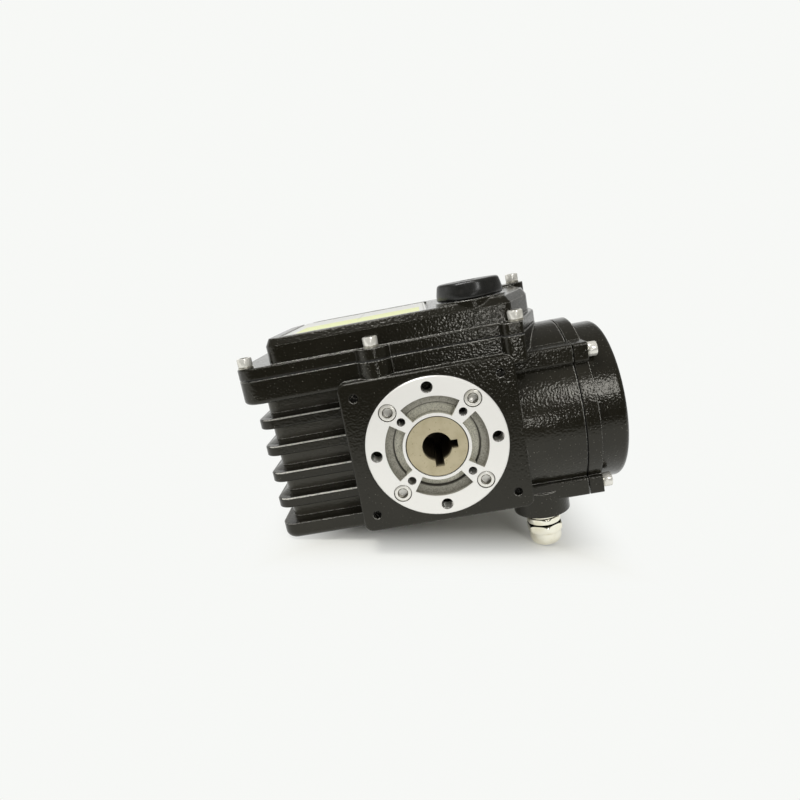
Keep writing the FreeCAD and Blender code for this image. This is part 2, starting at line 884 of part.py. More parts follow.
def stop_cam():
    """Disc on the sleeve with two lugs, one for each end of the quarter turn."""
    cam = join(
        [
            inward(wheel_hub_r - 1.0, 0, 0, wheel_hub_end, cam_hub_end),
            inward(cam_plate_r, 0, 0, cam_plate[0], cam_plate[1]),
            box(-stop_x - lug_half_w, -stop_x + lug_half_w, cam_plate[0], cam_plate[1], stop_z, 0),
            box(0, -stop_z, cam_plate[0], cam_plate[1], stop_x - lug_half_w, stop_x + lug_half_w),
        ]
    )
    return cam.cut(inward(journal_r + slip_gap, 0, 0, wheel_hub_end, cam_hub_end))


def feedback_gear():
    wheel = turned_inward(gear(feedback_teeth, fine_module, feedback_start, feedback_end, 90.0))
    return wheel.cut(inward(journal_r + slip_gap, 0, 0, feedback_start, feedback_end))


def sleeve_circlip():
    start = feedback_end + 0.15
    ring = inward(circlip_r, 0, 0, start, start + circlip_t).cut(
        inward(circlip_groove_r + slip_gap, 0, 0, start, start + circlip_t)
    )
    return ring.cut(box(-3.0, 3.0, start, start + circlip_t, 0, circlip_r + 1))


def worm_shaft():
    """Hardened shaft with a single-start right-hand worm, turned by the gear train or the knob."""
    root_r = worm_pitch_d / 2 - 1.25 * worm_module
    low = case_floor + 1.0
    core = join(
        [
            upright(shaft_bearing_r, worm_x, worm_y, low, low + 9.0),
            upright(shaft_body_r, worm_x, worm_y, low + 8.0, -worm_half_len),
            upright(root_r, worm_x, worm_y, -worm_half_len, worm_half_len),
            upright(shaft_body_r, worm_x, worm_y, worm_half_len, gear_plate_bottom - 2.2),
            upright(shaft_bearing_r, worm_x, worm_y, gear_plate_bottom - 3.0, level_a[0] - 0.5),
            upright(shaft_stub_r, worm_x, worm_y, gear_plate_top, shaft_top),
        ]
    )
    core = core.cut(upright(m5_shank_r + thread_gap, worm_x, worm_y, shaft_top - 14.0, shaft_top))
    return join([core, worm_thread(root_r)])


def worm_thread(root_r):
    """A trapezoid rib swept along a helix, cut square at both ends."""
    lead = math.pi * worm_module
    tip_r = worm_pitch_d / 2 + tooth_height * worm_module
    half_pitch = tooth_width * lead / 4
    slope = math.tan(math.radians(20))
    pitch_r = worm_pitch_d / 2
    inner_r = root_r - 0.4
    half_root = half_pitch + slope * (pitch_r - inner_r)
    half_tip = half_pitch - slope * (tip_r - pitch_r)
    turns = 2 * worm_half_len / lead - 1.5
    start = -turns * lead / 2
    profile = Part.makePolygon(
        [
            V(inner_r, 0, start - half_root),
            V(tip_r, 0, start - half_tip),
            V(tip_r, 0, start + half_tip),
            V(inner_r, 0, start + half_root),
            V(inner_r, 0, start - half_root),
        ]
    )
    helix = Part.makeHelix(lead, turns * lead, pitch_r)
    helix.translate(V(0, 0, start))
    path = Part.Wire(helix.Edges)
    rib = path.makePipeShell([Part.Wire(profile.Edges)], True, True)
    crest_facing_wheel = 180.0 + 360.0 * start / lead
    rib.rotate(V(0, 0, 0), UP, crest_facing_wheel)
    rib.translate(V(worm_x, worm_y, 0))
    return rib


def worm_shaft_gear():
    z0, z1 = level_a
    phase = mating_phase(direction_of(pin_2_at, worm_at), shaft_gear_teeth)
    wheel = gear(shaft_gear_teeth, worm_module, z0, z1, phase)
    wheel.translate(worm_at)
    hub = upright(8.5, worm_x, worm_y, z0, level_b[0] - 0.4)
    return join([wheel, hub]).cut(upright(shaft_stub_r + slip_gap, worm_x, worm_y, z0, level_b[0]))


def cluster(at, pinion, wheel, spacer_bottom):
    """A pinion and a wheel cut as one piece, with a spacer hub, free on its pin."""
    pinion_teeth, pinion_module, pinion_levels, pinion_phase = pinion
    wheel_count, wheel_module, wheel_levels, wheel_phase = wheel
    small = gear(pinion_teeth, pinion_module, pinion_levels[0], wheel_levels[0], pinion_phase)
    large = gear(wheel_count, wheel_module, wheel_levels[0], wheel_levels[1], wheel_phase)
    spacer = Part.makeCylinder(pin_r + 2.2, pinion_levels[0] - spacer_bottom, V(0, 0, spacer_bottom))
    whole = join([small, large, spacer])
    whole.translate(at)
    return whole.cut(upright(pin_r + running_gap, at.x, at.y, spacer_bottom, wheel_levels[1] + 1.0))


def cluster_gear_1():
    phase = mating_phase(direction_of(motor_at, pin_1_at), gear_1_teeth)
    wheel = (gear_1_teeth, fine_module, level_c, phase)
    pinion = (pinion_1_teeth, fine_module, level_b, direction_of(pin_1_at, pin_2_at))
    return cluster(pin_1_at, pinion, wheel, gear_plate_top + seat_gap)


def cluster_gear_2():
    phase = mating_phase(direction_of(pin_1_at, pin_2_at), gear_2_teeth)
    wheel = (gear_2_teeth, fine_module, level_b, phase)
    pinion = (pinion_2_teeth, worm_module, level_a, direction_of(pin_2_at, worm_at))
    return cluster(pin_2_at, pinion, wheel, gear_plate_top + seat_gap)


def gear_pins():
    return [
        upright(pin_r, pin_1_at.x, pin_1_at.y, gear_plate_bottom, level_c[1] + 1.6),
        upright(pin_r, pin_2_at.x, pin_2_at.y, gear_plate_bottom, level_b[1] + 1.1),
    ]


def pin_clips():
    clips = []
    for at, top in ((pin_1_at, level_c[1]), (pin_2_at, level_b[1])):
        start = top + 0.3
        ring = upright(pin_r + 1.6, at.x, at.y, start, start + clip_t).cut(
            upright(pin_r, at.x, at.y, start, start + clip_t)
        )
        clips.append(ring.cut(box(at.x, at.x + 6, at.y - 1.2, at.y + 1.2, start, start + clip_t)))
    return clips


def motor_pinion():
    phase = direction_of(motor_at, pin_1_at)
    wheel = gear(motor_teeth, fine_module, level_c[0] - 0.5, level_c[1] + 0.5, phase)
    wheel.translate(motor_at)
    return wheel.cut(upright(motor_shaft_r + slip_gap, motor_x, motor_y, level_c[0] - 1, level_c[1] + 1))


def motor_rotor():
    return join(
        [
            upright(motor_shaft_r, motor_x, motor_y, motor_bottom - 8.0, level_c[1] + 0.5),
            upright(rotor_r, motor_x, motor_y, core_bottom, core_top),
        ]
    )


def motor_can():
    return upright(motor_r, motor_x, motor_y, motor_bottom, motor_top).cut(
        upright(motor_r - motor_can_wall, motor_x, motor_y, motor_bottom, motor_top)
    )


def motor_stator_core():
    return upright(motor_r - motor_can_wall - slip_gap, motor_x, motor_y, core_bottom, core_top).cut(
        upright(rotor_r + air_gap, motor_x, motor_y, core_bottom, core_top)
    )


def motor_windings():
    rings = []
    for z0, z1 in ((core_bottom - winding_t, core_bottom), (core_top, core_top + winding_t)):
        ring = upright(motor_r - 3.5, motor_x, motor_y, z0, z1)
        rings.append(ring.cut(upright(rotor_r + 2.5, motor_x, motor_y, z0, z1)))
    return rings


def end_bell(z0, z1, bearing_z0, open_z0, open_z1):
    bell = upright(motor_r, motor_x, motor_y, z0, z1)
    return bell.cut(
        [
            upright(bearing_608_r + slip_gap, motor_x, motor_y, bearing_z0, bearing_z0 + bearing_608_t),
            upright(motor_shaft_r + 3.0, motor_x, motor_y, open_z0, open_z1),
        ]
    )


def motor_lower_bell():
    z0 = motor_bottom - motor_end_bell_t
    return end_bell(z0, motor_bottom, motor_bottom - bearing_608_t, motor_bottom - 8.3, motor_bottom)


def motor_upper_bell():
    bell = end_bell(motor_top, gear_plate_bottom, motor_top, motor_top, gear_plate_bottom)
    for x, y in motor_screw_places():
        bell = bell.cut(upright(m4_shank_r + thread_gap, x, y, motor_top, gear_plate_bottom))
    return bell


def motor_screw_places():
    places = []
    for i in range(4):
        dx, dy = polar(motor_r - 7.0, 45 + 90 * i)
        places.append((motor_x + dx, motor_y + dy))
    return places


def motor_bearings():
    return [
        bearing(bearing_608_r, motor_shaft_r, V(motor_x, motor_y, z), UP, bearing_608_t)
        for z in (motor_bottom - bearing_608_t, motor_top)
    ]


def motor_screws():
    length = gear_plate_top - motor_top - 1.0
    return [
        socket_screw(V(x, y, gear_plate_top), UP, m4_head_r, m4_head_h, m4_socket, m4_shank_r, length)
        for x, y in motor_screw_places()
    ]


def gear_plate():
    """Carrier plate over the motor and gear case, for the gear pins and the upper worm bearing."""
    over_case = box(
        cavity_left - 1.0,
        partition - clearance,
        front_wall_back + clearance,
        body_back - wall - clearance,
        gear_plate_bottom,
        gear_plate_top,
    )
    over_motor = prism(
        [
            (chamber_left + wall + clearance, chamber_front + wall + clearance, 4.0),
            (cavity_left + 2.0, chamber_front + wall + clearance, 0.5),
            (cavity_left + 2.0, chamber_back - wall - clearance, 0.5),
            (chamber_left + wall + clearance, chamber_back - wall - clearance, 4.0),
        ],
        gear_plate_bottom,
        gear_plate_top,
    )
    over_case = over_case.cut(
        [
            box(cavity_left - 2.0, cavity_left + clearance, 0, chamber_front + wall, 0, rim_top),
            box(cavity_left - 2.0, cavity_left + clearance, chamber_back - wall, body_back, 0, rim_top),
        ]
    )
    seat_bottom = gear_plate_bottom - bearing_land_t
    bearing_seat = upright(bearing_6901_r + 2.4, worm_x, worm_y, seat_bottom, gear_plate_bottom)
    bearing_seat = bearing_seat.cut(
        [
            box(partition - clearance, case_right, 0, body_back, 0, gear_plate_top),
            box(0, case_right, 0, front_wall_back + clearance, 0, gear_plate_top),
        ]
    )
    plate = join([over_case, over_motor, bearing_seat])
    top_lip = gear_plate_bottom + bearing_6901_t - 2.0
    cuts = [
        upright(bearing_6901_r + slip_gap, worm_x, worm_y, seat_bottom - 0.5, top_lip),
        upright(bearing_6901_r - 3.0, worm_x, worm_y, top_lip, gear_plate_top),
        upright(motor_shaft_r + 3.5, motor_x, motor_y, gear_plate_bottom, gear_plate_top),
        upright(pin_r + slip_gap, pin_1_at.x, pin_1_at.y, gear_plate_bottom, gear_plate_top),
        upright(pin_r + slip_gap, pin_2_at.x, pin_2_at.y, gear_plate_bottom, gear_plate_top),
    ]
    for x, y in gear_plate_screw_places:
        cuts.append(upright(m4_shank_r + clearance, x, y, gear_plate_bottom, gear_plate_top))
    for x, y in motor_screw_places():
        cuts.append(upright(m4_shank_r + clearance, x, y, gear_plate_bottom, gear_plate_top))
    return plate.cut(cuts)


def gear_plate_screws():
    length = gear_plate_t + 8.0
    return [
        socket_screw(V(x, y, gear_plate_top), UP, m4_head_r, m4_head_h, m4_socket, m4_shank_r, length)
        for x, y in gear_plate_screw_places
    ]


def worm_bearings():
    return [
        bearing(bearing_6901_r, shaft_bearing_r, V(worm_x, worm_y, z), UP, bearing_6901_t)
        for z in (case_floor + bearing_land_t, gear_plate_bottom - 2.0)
    ]


def stop_screws():
    screws = []
    stop_tip = case_bottom - stop_stand
    for sx in (-1, 1):
        pin = upright(stop_r, sx * stop_x, stop_y, stop_tip, stop_z - seat_gap)
        socket = hexagon(3.0, stop_tip, stop_tip + 3.0)
        socket.translate(V(sx * stop_x, stop_y, 0))
        screws.append(pin.cut(socket))
    return screws


def stop_lock_nuts():
    nuts = []
    start = case_bottom - stop_nut_t
    for sx in (-1, 1):
        nut = hexagon(stop_nut, start, case_bottom)
        nut.translate(V(sx * stop_x, stop_y, 0))
        rounded = nut.common(upright(stop_nut * 0.56, sx * stop_x, stop_y, start, case_bottom))
        hole = upright(stop_r + slip_gap, sx * stop_x, stop_y, start - 1.0, case_bottom)
        nuts.append(rounded.cut(hole))
    return nuts


def raised_outline(inset):
    return [
        (raised_left + inset, raised_front + inset, 8.0 - inset),
        (raised_right_near - inset, raised_front + inset, max(1.0, 4.0 - inset)),
        (raised_right_far - inset, rim_bend_y, 30.0),
        (raised_right_far - inset, raised_back - inset, 12.0 - inset),
        (raised_left + inset, raised_back - inset, 30.0 - inset),
    ]


def control_cover():
    """Deep cover over the gears: flange with screw lugs, raised box with a stepped edge."""
    flange = prism(rim_outline(0), cover_bottom, cover_flange_top)
    top_edges = [e for e in flange.Edges if abs(e.BoundBox.ZMin - cover_flange_top) < 1e-6]
    flange = flange.makeFillet(1.0, top_edges)
    wall_box = prism(raised_outline(0), cover_bottom, raised_step_z)
    step_edge = rounded_wire(raised_outline(0), raised_step_z)
    top_edge = rounded_wire(raised_outline(raised_inset), raised_top)
    top_box = Part.makeLoft([step_edge, top_edge], True, True)
    crown = [e for e in top_box.Edges if abs(e.BoundBox.ZMin - raised_top) < 1e-6]
    top_box = top_box.makeFillet(0.6, crown)
    column = upright(pad_r, far_pad.x, far_pad.y, cover_bottom, pad_top)
    pad_bar = box(pad_left, far_pad.x, far_pad.y - pad_r, far_pad.y + pad_r, cover_ceiling, pad_top)
    pad_end = upright(pad_r, pad_left, far_pad.y, cover_ceiling, pad_top)
    pedestal = upright(pedestal_r, worm_x, worm_y + 0.8, raised_step_z, pedestal_top)
    lugs = screw_lugs(cover_bottom, cover_flange_top)
    cover = join([flange, wall_box, top_box, pedestal, pad_bar, pad_end] + lugs)
    hollow = prism(raised_outline(cover_wall), cover_bottom, cover_ceiling)
    plate_room = rectangle(panel_left, panel_right, panel_front, panel_back, 3.0)
    panel = prism(plate_room, raised_top - panel_depth, raised_top + 1.0)
    cover = join([cover.cut([hollow, panel]), column])
    cuts = [upright(knob_seal_r + slip_gap, worm_x, worm_y, cover_ceiling - 1.0, pedestal_top + 1.0)]
    for place in cover_screw_places:
        head_top = place.z + spring_washer_t + m5_head_h
        cuts.append(upright(m5_shank_r + clearance, place.x, place.y, cover_bottom, place.z))
        cuts.append(upright(m5_head_r + clearance, place.x, place.y, place.z, head_top + 1.0))
    return cover.cut(cuts)


def cover_gasket():
    sheet = prism(rim_outline(gasket_inset), rim_top, cover_bottom)
    sheet = join([sheet] + screw_lugs(rim_top, cover_bottom))
    edge = wall - 1.0
    left = chamber_left + edge
    right = partition + 1.0
    over_chamber = rectangle(left, right, chamber_front + edge, chamber_back - edge, 4.0)
    over_case = rectangle(cavity_left - 1.0, right, front_wall_back - 1.0, body_back - edge, 1.0)
    cuts = [prism(opening, rim_top, cover_bottom) for opening in (over_chamber, over_case)]
    cuts.append(shaft_gear_pocket())
    for place in cover_screw_places:
        cuts.append(upright(m5_shank_r + clearance, place.x, place.y, rim_top, cover_bottom))
    return sheet.cut(cuts)


def cover_screws():
    screws = []
    for place in cover_screw_places:
        seat = place.add(V(0, 0, spring_washer_t))
        length = seat.z - (rim_top - 10.0)
        screws.append(socket_screw(seat, UP, m5_head_r, m5_head_h, m5_socket, m5_shank_r, length))
    return screws


def cover_spring_washers():
    return [
        spring_washer(place, UP, m5_shank_r + 0.1, m5_head_r + 0.1, spring_washer_t)
        for place in cover_screw_places
    ]


def nameplate():
    return prism(
        rectangle(
            panel_left + plate_margin,
            panel_right - plate_margin,
            panel_front + plate_margin,
            panel_back - plate_margin,
            2.0,
        ),
        raised_top - panel_depth,
        raised_top - panel_depth + plate_t,
    )


def knob_shaft_seal():
    return upright(knob_seal_r, worm_x, worm_y, cover_ceiling, pedestal_top).cut(
        upright(shaft_stub_r + running_gap, worm_x, worm_y, cover_ceiling, pedestal_top)
    )


def hand_knob():
    """Moulded disc knob with shallow finger recesses round its rim."""
    knob = upright(knob_r, worm_x, worm_y, knob_bottom, knob_top)
    recess_at = knob_r + knob_recess_r - knob_recess_depth
    for i in range(knob_recesses):
        dx, dy = polar(recess_at, (i + 0.5) * 360.0 / knob_recesses)
        knob = knob.cut(upright(knob_recess_r, worm_x + dx, worm_y + dy, knob_bottom, knob_top))
    rims = [e for e in knob.Edges if abs(e.BoundBox.ZMin - knob_top) < 1e-6]
    knob = knob.makeFillet(knob_edge_r, rims)
    return knob.cut(
        [
            upright(shaft_stub_r + slip_gap, worm_x, worm_y, knob_bottom, shaft_top + 0.2),
            upright(m5_shank_r + clearance, worm_x, worm_y, knob_bottom, knob_top),
            upright(m5_head_r + clearance, worm_x, worm_y, knob_top - knob_screw_head_t, knob_top),
        ]
    )


def knob_screw():
    head = upright(m5_head_r, worm_x, worm_y, knob_top - knob_screw_head_t, knob_top - 0.2)
    shank = upright(m5_shank_r, worm_x, worm_y, shaft_top - 12.0, knob_top - 1.5)
    socket = hexagon(3.0, knob_top - 1.3, knob_top)
    socket.translate(worm_at)
    return join([head, shank]).cut(socket)


def terminal_cap():
    """Round screwed cap with four ears and a rounded end."""
    disc = sideways(comp_r, comp_y, comp_z, cap_flange_start, cap_flange_end)
    drum = sideways(cap_drum_r, comp_y, comp_z, cap_flange_end - 1.0, cap_reach)
    end_edge = [e for e in drum.Edges if abs(e.BoundBox.XMin - cap_reach) < 1e-6]
    drum = drum.makeFillet(cap_rim_r, end_edge)
    cap = join([disc, drum] + ear_blocks(cap_flange_start, cap_flange_end))
    cuts = [sideways(cap_drum_r - cap_wall, comp_y, comp_z, cap_flange_start, cap_reach - cap_wall)]
    for y, z in ear_places:
        cuts.append(sideways(m5_shank_r + clearance, y, z, cap_flange_start, cap_flange_end))
        cuts.append(sideways(m5_head_r + clearance, y, z, cap_flange_end, cap_reach + 1.0))
    return cap.cut(cuts)


def terminal_cap_seal():
    return sideways(comp_r - cap_seal_land, comp_y, comp_z, comp_end, cap_flange_start).cut(
        sideways(comp_bore_r + 0.5, comp_y, comp_z, comp_end, cap_flange_start)
    )


def terminal_cap_screws():
    seat = cap_flange_end + spring_washer_t
    length = seat - comp_end + 12.0
    return [
        socket_screw(V(seat, y, z), RIGHTWARD, m5_head_r, m5_head_h, m5_socket, m5_shank_r, length)
        for y, z in ear_places
    ]


def terminal_cap_spring_washers():
    inner_r = m5_shank_r + 0.1
    outer_r = m5_head_r + 0.1
    return [
        spring_washer(V(cap_flange_end, y, z), RIGHTWARD, inner_r, outer_r, spring_washer_t)
        for y, z in ear_places
    ]


def gland_washer():
    return upright(gland_collar_r + 0.3, gland_x, gland_y, gland_top, gland_boss_bottom).cut(
        upright(gland_thread_r + slip_gap, gland_x, gland_y, gland_top, gland_boss_bottom)
    )


def gland_body():
    """Plated brass gland body: thread, hexagon and neck."""
    hex_bottom = gland_top - gland_hex_t
    collar = hexagon(gland_hex, hex_bottom, gland_top)
    collar.translate(V(gland_x, gland_y, 0))
    collar = collar.common(upright(gland_collar_r, gland_x, gland_y, hex_bottom, gland_top))
    neck_bottom = gland_nut_top - gland_neck_run
    thread_top = gland_boss_bottom + gland_thread_len
    whole = join(
        [
            collar,
            upright(gland_thread_r, gland_x, gland_y, gland_top - 0.5, thread_top),
            upright(gland_neck_r, gland_x, gland_y, neck_bottom, hex_bottom + 0.5),
        ]
    )
    return whole.cut(upright(gland_cable_r + 1.0, gland_x, gland_y, neck_bottom, thread_top))


def gland_nut():
    """Dome nut: hexagon flats that run out into a rounded end with the cable opening."""
    hex_end = gland_nut_top - gland_nut_hex_t
    nut = hexagon(gland_hex, hex_end, gland_nut_top)
    nut.translate(V(gland_x, gland_y, 0))
    nut = nut.common(upright(gland_hex * 0.55, gland_x, gland_y, hex_end, gland_nut_top))
    dome = upright(gland_hex * 0.49, gland_x, gland_y, gland_nut_bottom, hex_end + 0.5)
    end = [e for e in dome.Edges if abs(e.BoundBox.ZMax - gland_nut_bottom) < 1e-6]
    dome = dome.makeFillet(3.2, end)
    seal_bottom = gland_nut_bottom + gland_nut_floor
    neck_bottom = gland_nut_top - gland_neck_run - 0.2
    return join([nut, dome]).cut(
        [
            upright(gland_neck_r + slip_gap, gland_x, gland_y, neck_bottom, gland_nut_top),
            upright(gland_neck_r - 0.9, gland_x, gland_y, seal_bottom, gland_nut_top),
            upright(gland_cable_r + 1.4, gland_x, gland_y, gland_nut_bottom, gland_nut_top),
        ]
    )


def gland_seal():
    bottom = gland_nut_bottom + gland_nut_floor
    top = gland_nut_top - gland_neck_run - 0.2
    return upright(gland_neck_r - 0.9 - slip_gap, gland_x, gland_y, bottom, top).cut(
        upright(gland_cable_r, gland_x, gland_y, bottom, top)
    )


def standoff_places():
    offset = board_half - standoff_inset
    return [(comp_y + sy * offset, comp_z + sz * offset) for sy in (-1, 1) for sz in (-1, 1)]


def control_board():
    """Circuit board in the terminal compartment, held on four standoffs."""
    back = board_x + board_t
    y0 = comp_y - board_half
    z0 = comp_z - board_half
    board = box(board_x, back, y0, y0 + 2 * board_half, z0, z0 + 2 * board_half)
    return board.cut([sideways(1.7, y, z, board_x, back) for y, z in standoff_places()])


def board_standoffs():
    posts = []
    for y, z in standoff_places():
        post = sideways(standoff_r, y, z, case_right, board_x)
        stud = sideways(1.6, y, z, board_x - 1.0, board_x + board_t + 1.0)
        posts.append(join([post, stud]))
    return posts


def board_relays():
    face = board_x + board_t
    first_y = comp_y - relay_pitch - relay_w / 2
    z0 = comp_z + relay_h / 2
    relays = []
    for i in range(3):
        y = first_y + relay_pitch * i
        relays.append(box(face, face + relay_l, y, y + relay_w, z0, z0 + relay_h))
    return relays


def terminal_block():
    """Screw terminal strip: one block with a clamp pocket and a wire hole for each way."""
    face = board_x + board_t
    y0 = comp_y - terminal_ways * terminal_pitch / 2
    z1 = comp_z - terminal_h / 4
    z0 = z1 - terminal_h
    middle = face + terminal_l / 2
    block = box(face, face + terminal_l, y0, y0 + terminal_ways * terminal_pitch, z0, z1)
    for i in range(terminal_ways):
        y = y0 + (i + 0.5) * terminal_pitch
        block = block.cut(sideways(2.3, y, z1 - 5.0, middle, face + terminal_l))
        block = block.cut(box(face + 2.0, middle, y - 2.2, y + 2.2, z0, z0 + 6.0))
    return block


def potentiometer_gear():
    phase = mating_phase(90.0, pot_teeth)
    wheel = turned_inward(gear(pot_teeth, fine_module, feedback_start, feedback_end, phase))
    wheel.translate(V(0, 0, pot_z))
    shaft = inward(pin_r, 0, pot_z, feedback_start - 1.0, pot_bracket_y + pot_bracket_t + 5.0)
    return join([wheel, shaft])


def potentiometer_body():
    start = pot_bracket_y + pot_bracket_t
    can = inward(pot_r, 0, pot_z, start, start + pot_t)
    return can.cut(inward(pin_r + running_gap, 0, pot_z, start, start + 6.0))


def potentiometer_bracket():
    end = pot_bracket_y + pot_bracket_t
    foot_end = end + pot_t + 3.0
    half_w = pot_bracket_half_w
    leg = box(-half_w, half_w, pot_bracket_y, end, case_floor, pot_z + 11.0)
    foot = box(-half_w, half_w, pot_bracket_y, foot_end, case_floor, case_floor + pot_bracket_t)
    return join([leg, foot]).cut(inward(pin_r + 0.6, 0, pot_z, pot_bracket_y, end))


def start_capacitor():
    top = case_floor + capacitor_h
    can = upright(capacitor_r, capacitor_x, capacitor_y, case_floor, top)
    edge = [e for e in can.Edges if abs(e.BoundBox.ZMin - top) < 1e-6]
    return can.makeFillet(1.5, edge)


def capacitor_clip():
    """Sprung band round the capacitor, with a leg down to its foot on the floor."""
    z0 = case_floor + clip_height
    z1 = z0 + clip_band
    band = upright(capacitor_r + 1.0, capacitor_x, capacitor_y, z0, z1).cut(
        upright(capacitor_r + slip_gap, capacitor_x, capacitor_y, z0, z1)
    )
    near = capacitor_y - clip_half_w
    far = capacitor_y + clip_half_w
    leg_x = capacitor_x - capacitor_r - 2.0
    leg_back = leg_x + 1.5
    leg = box(leg_x, leg_back, near, far, case_floor, z1)
    foot = box(leg_x - 2 * clip_half_w, leg_back, near, far, case_floor, case_floor + 1.5)
    return join([band, leg, foot])


pieces = {
    "gear_housing": gear_housing,
    "mounting_flange_ring": mounting_flange_ring,
    "flange_ring_screws": flange_ring_screws,
    "control_cover": control_cover,
    "cover_gasket": cover_gasket,
    "cover_screws": cover_screws,
    "cover_spring_washers": cover_spring_washers,
    "nameplate": nameplate,
    "terminal_cap": terminal_cap,
    "terminal_cap_seal": terminal_cap_seal,
    "terminal_cap_screws": terminal_cap_screws,
    "terminal_cap_spring_washers": terminal_cap_spring_washers,
    "gland_washer": gland_washer,
    "gland_body": gland_body,
    "gland_nut": gland_nut,
    "gland_seal": gland_seal,
    "stop_screws": stop_screws,
    "stop_lock_nuts": stop_lock_nuts,
    "output_shaft_seal": output_shaft_seal,
    "front_bush": front_bush,
    "rear_bush": rear_bush,
    "output_sleeve": output_sleeve,
    "worm_wheel": worm_wheel,
    "wheel_key": wheel_key,
    "stop_cam": stop_cam,
    "feedback_gear": feedback_gear,
    "sleeve_circlip": sleeve_circlip,
    "worm_shaft": worm_shaft,
    "worm_shaft_gear": worm_shaft_gear,
    "worm_bearings": worm_bearings,
    "knob_shaft_seal": knob_shaft_seal,
    "hand_knob": hand_knob,
    "knob_screw": knob_screw,
    "cluster_gear_1": cluster_gear_1,
    "cluster_gear_2": cluster_gear_2,
    "gear_pins": gear_pins,
    "pin_clips": pin_clips,
    "gear_plate": gear_plate,
    "gear_plate_screws": gear_plate_screws,
    "motor_can": motor_can,
    "motor_stator_core": motor_stator_core,
    "motor_windings": motor_windings,
    "motor_lower_bell": motor_lower_bell,
    "motor_upper_bell": motor_upper_bell,
    "motor_bearings": motor_bearings,
    "motor_screws": motor_screws,
    "motor_rotor": motor_rotor,
    "motor_pinion": motor_pinion,
    "potentiometer_gear": potentiometer_gear,
    "potentiometer_body": potentiometer_body,
    "potentiometer_bracket": potentiometer_bracket,
    "start_capacitor": start_capacitor,
    "capacitor_clip": capacitor_clip,
    "control_board": control_board,
    "board_standoffs": board_standoffs,
    "board_relays": board_relays,
    "terminal_block": terminal_block,
}

os.makedirs("parts", exist_ok=True)
for name, make in pieces.items():
    made = make()
    shape = Part.makeCompound(made) if isinstance(made, list) else made
    shape.exportStep(os.path.join("parts", name + ".step"))
    print(name, len(shape.Solids), round(shape.Volume, 1), shape.isValid())
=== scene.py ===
import math

import bmesh
import bpy
from mathutils import Matrix, Vector


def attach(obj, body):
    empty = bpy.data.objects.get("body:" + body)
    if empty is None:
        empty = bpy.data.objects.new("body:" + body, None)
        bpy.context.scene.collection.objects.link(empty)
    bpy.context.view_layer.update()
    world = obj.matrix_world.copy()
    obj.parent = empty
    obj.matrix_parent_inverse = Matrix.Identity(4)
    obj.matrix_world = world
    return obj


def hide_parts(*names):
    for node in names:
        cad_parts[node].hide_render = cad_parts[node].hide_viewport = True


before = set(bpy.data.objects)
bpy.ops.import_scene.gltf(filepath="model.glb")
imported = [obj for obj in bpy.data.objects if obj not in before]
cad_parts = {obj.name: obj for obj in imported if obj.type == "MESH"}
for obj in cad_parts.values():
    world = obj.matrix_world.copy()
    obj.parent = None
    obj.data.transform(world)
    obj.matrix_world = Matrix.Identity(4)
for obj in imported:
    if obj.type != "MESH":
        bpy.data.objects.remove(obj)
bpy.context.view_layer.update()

# Gear housing: one pressure-cast aluminium body, shot-blasted and powder-coated gloss black.
# The baked coat has a fine orange peel. A highlight is painted along its edges that face up or
# right and along the fins' front lips, and the walls between the fins are painted lighter as a
# reflection of the floor; the inside, the joint faces and the bores are left as cast or cut
# bright after coating.


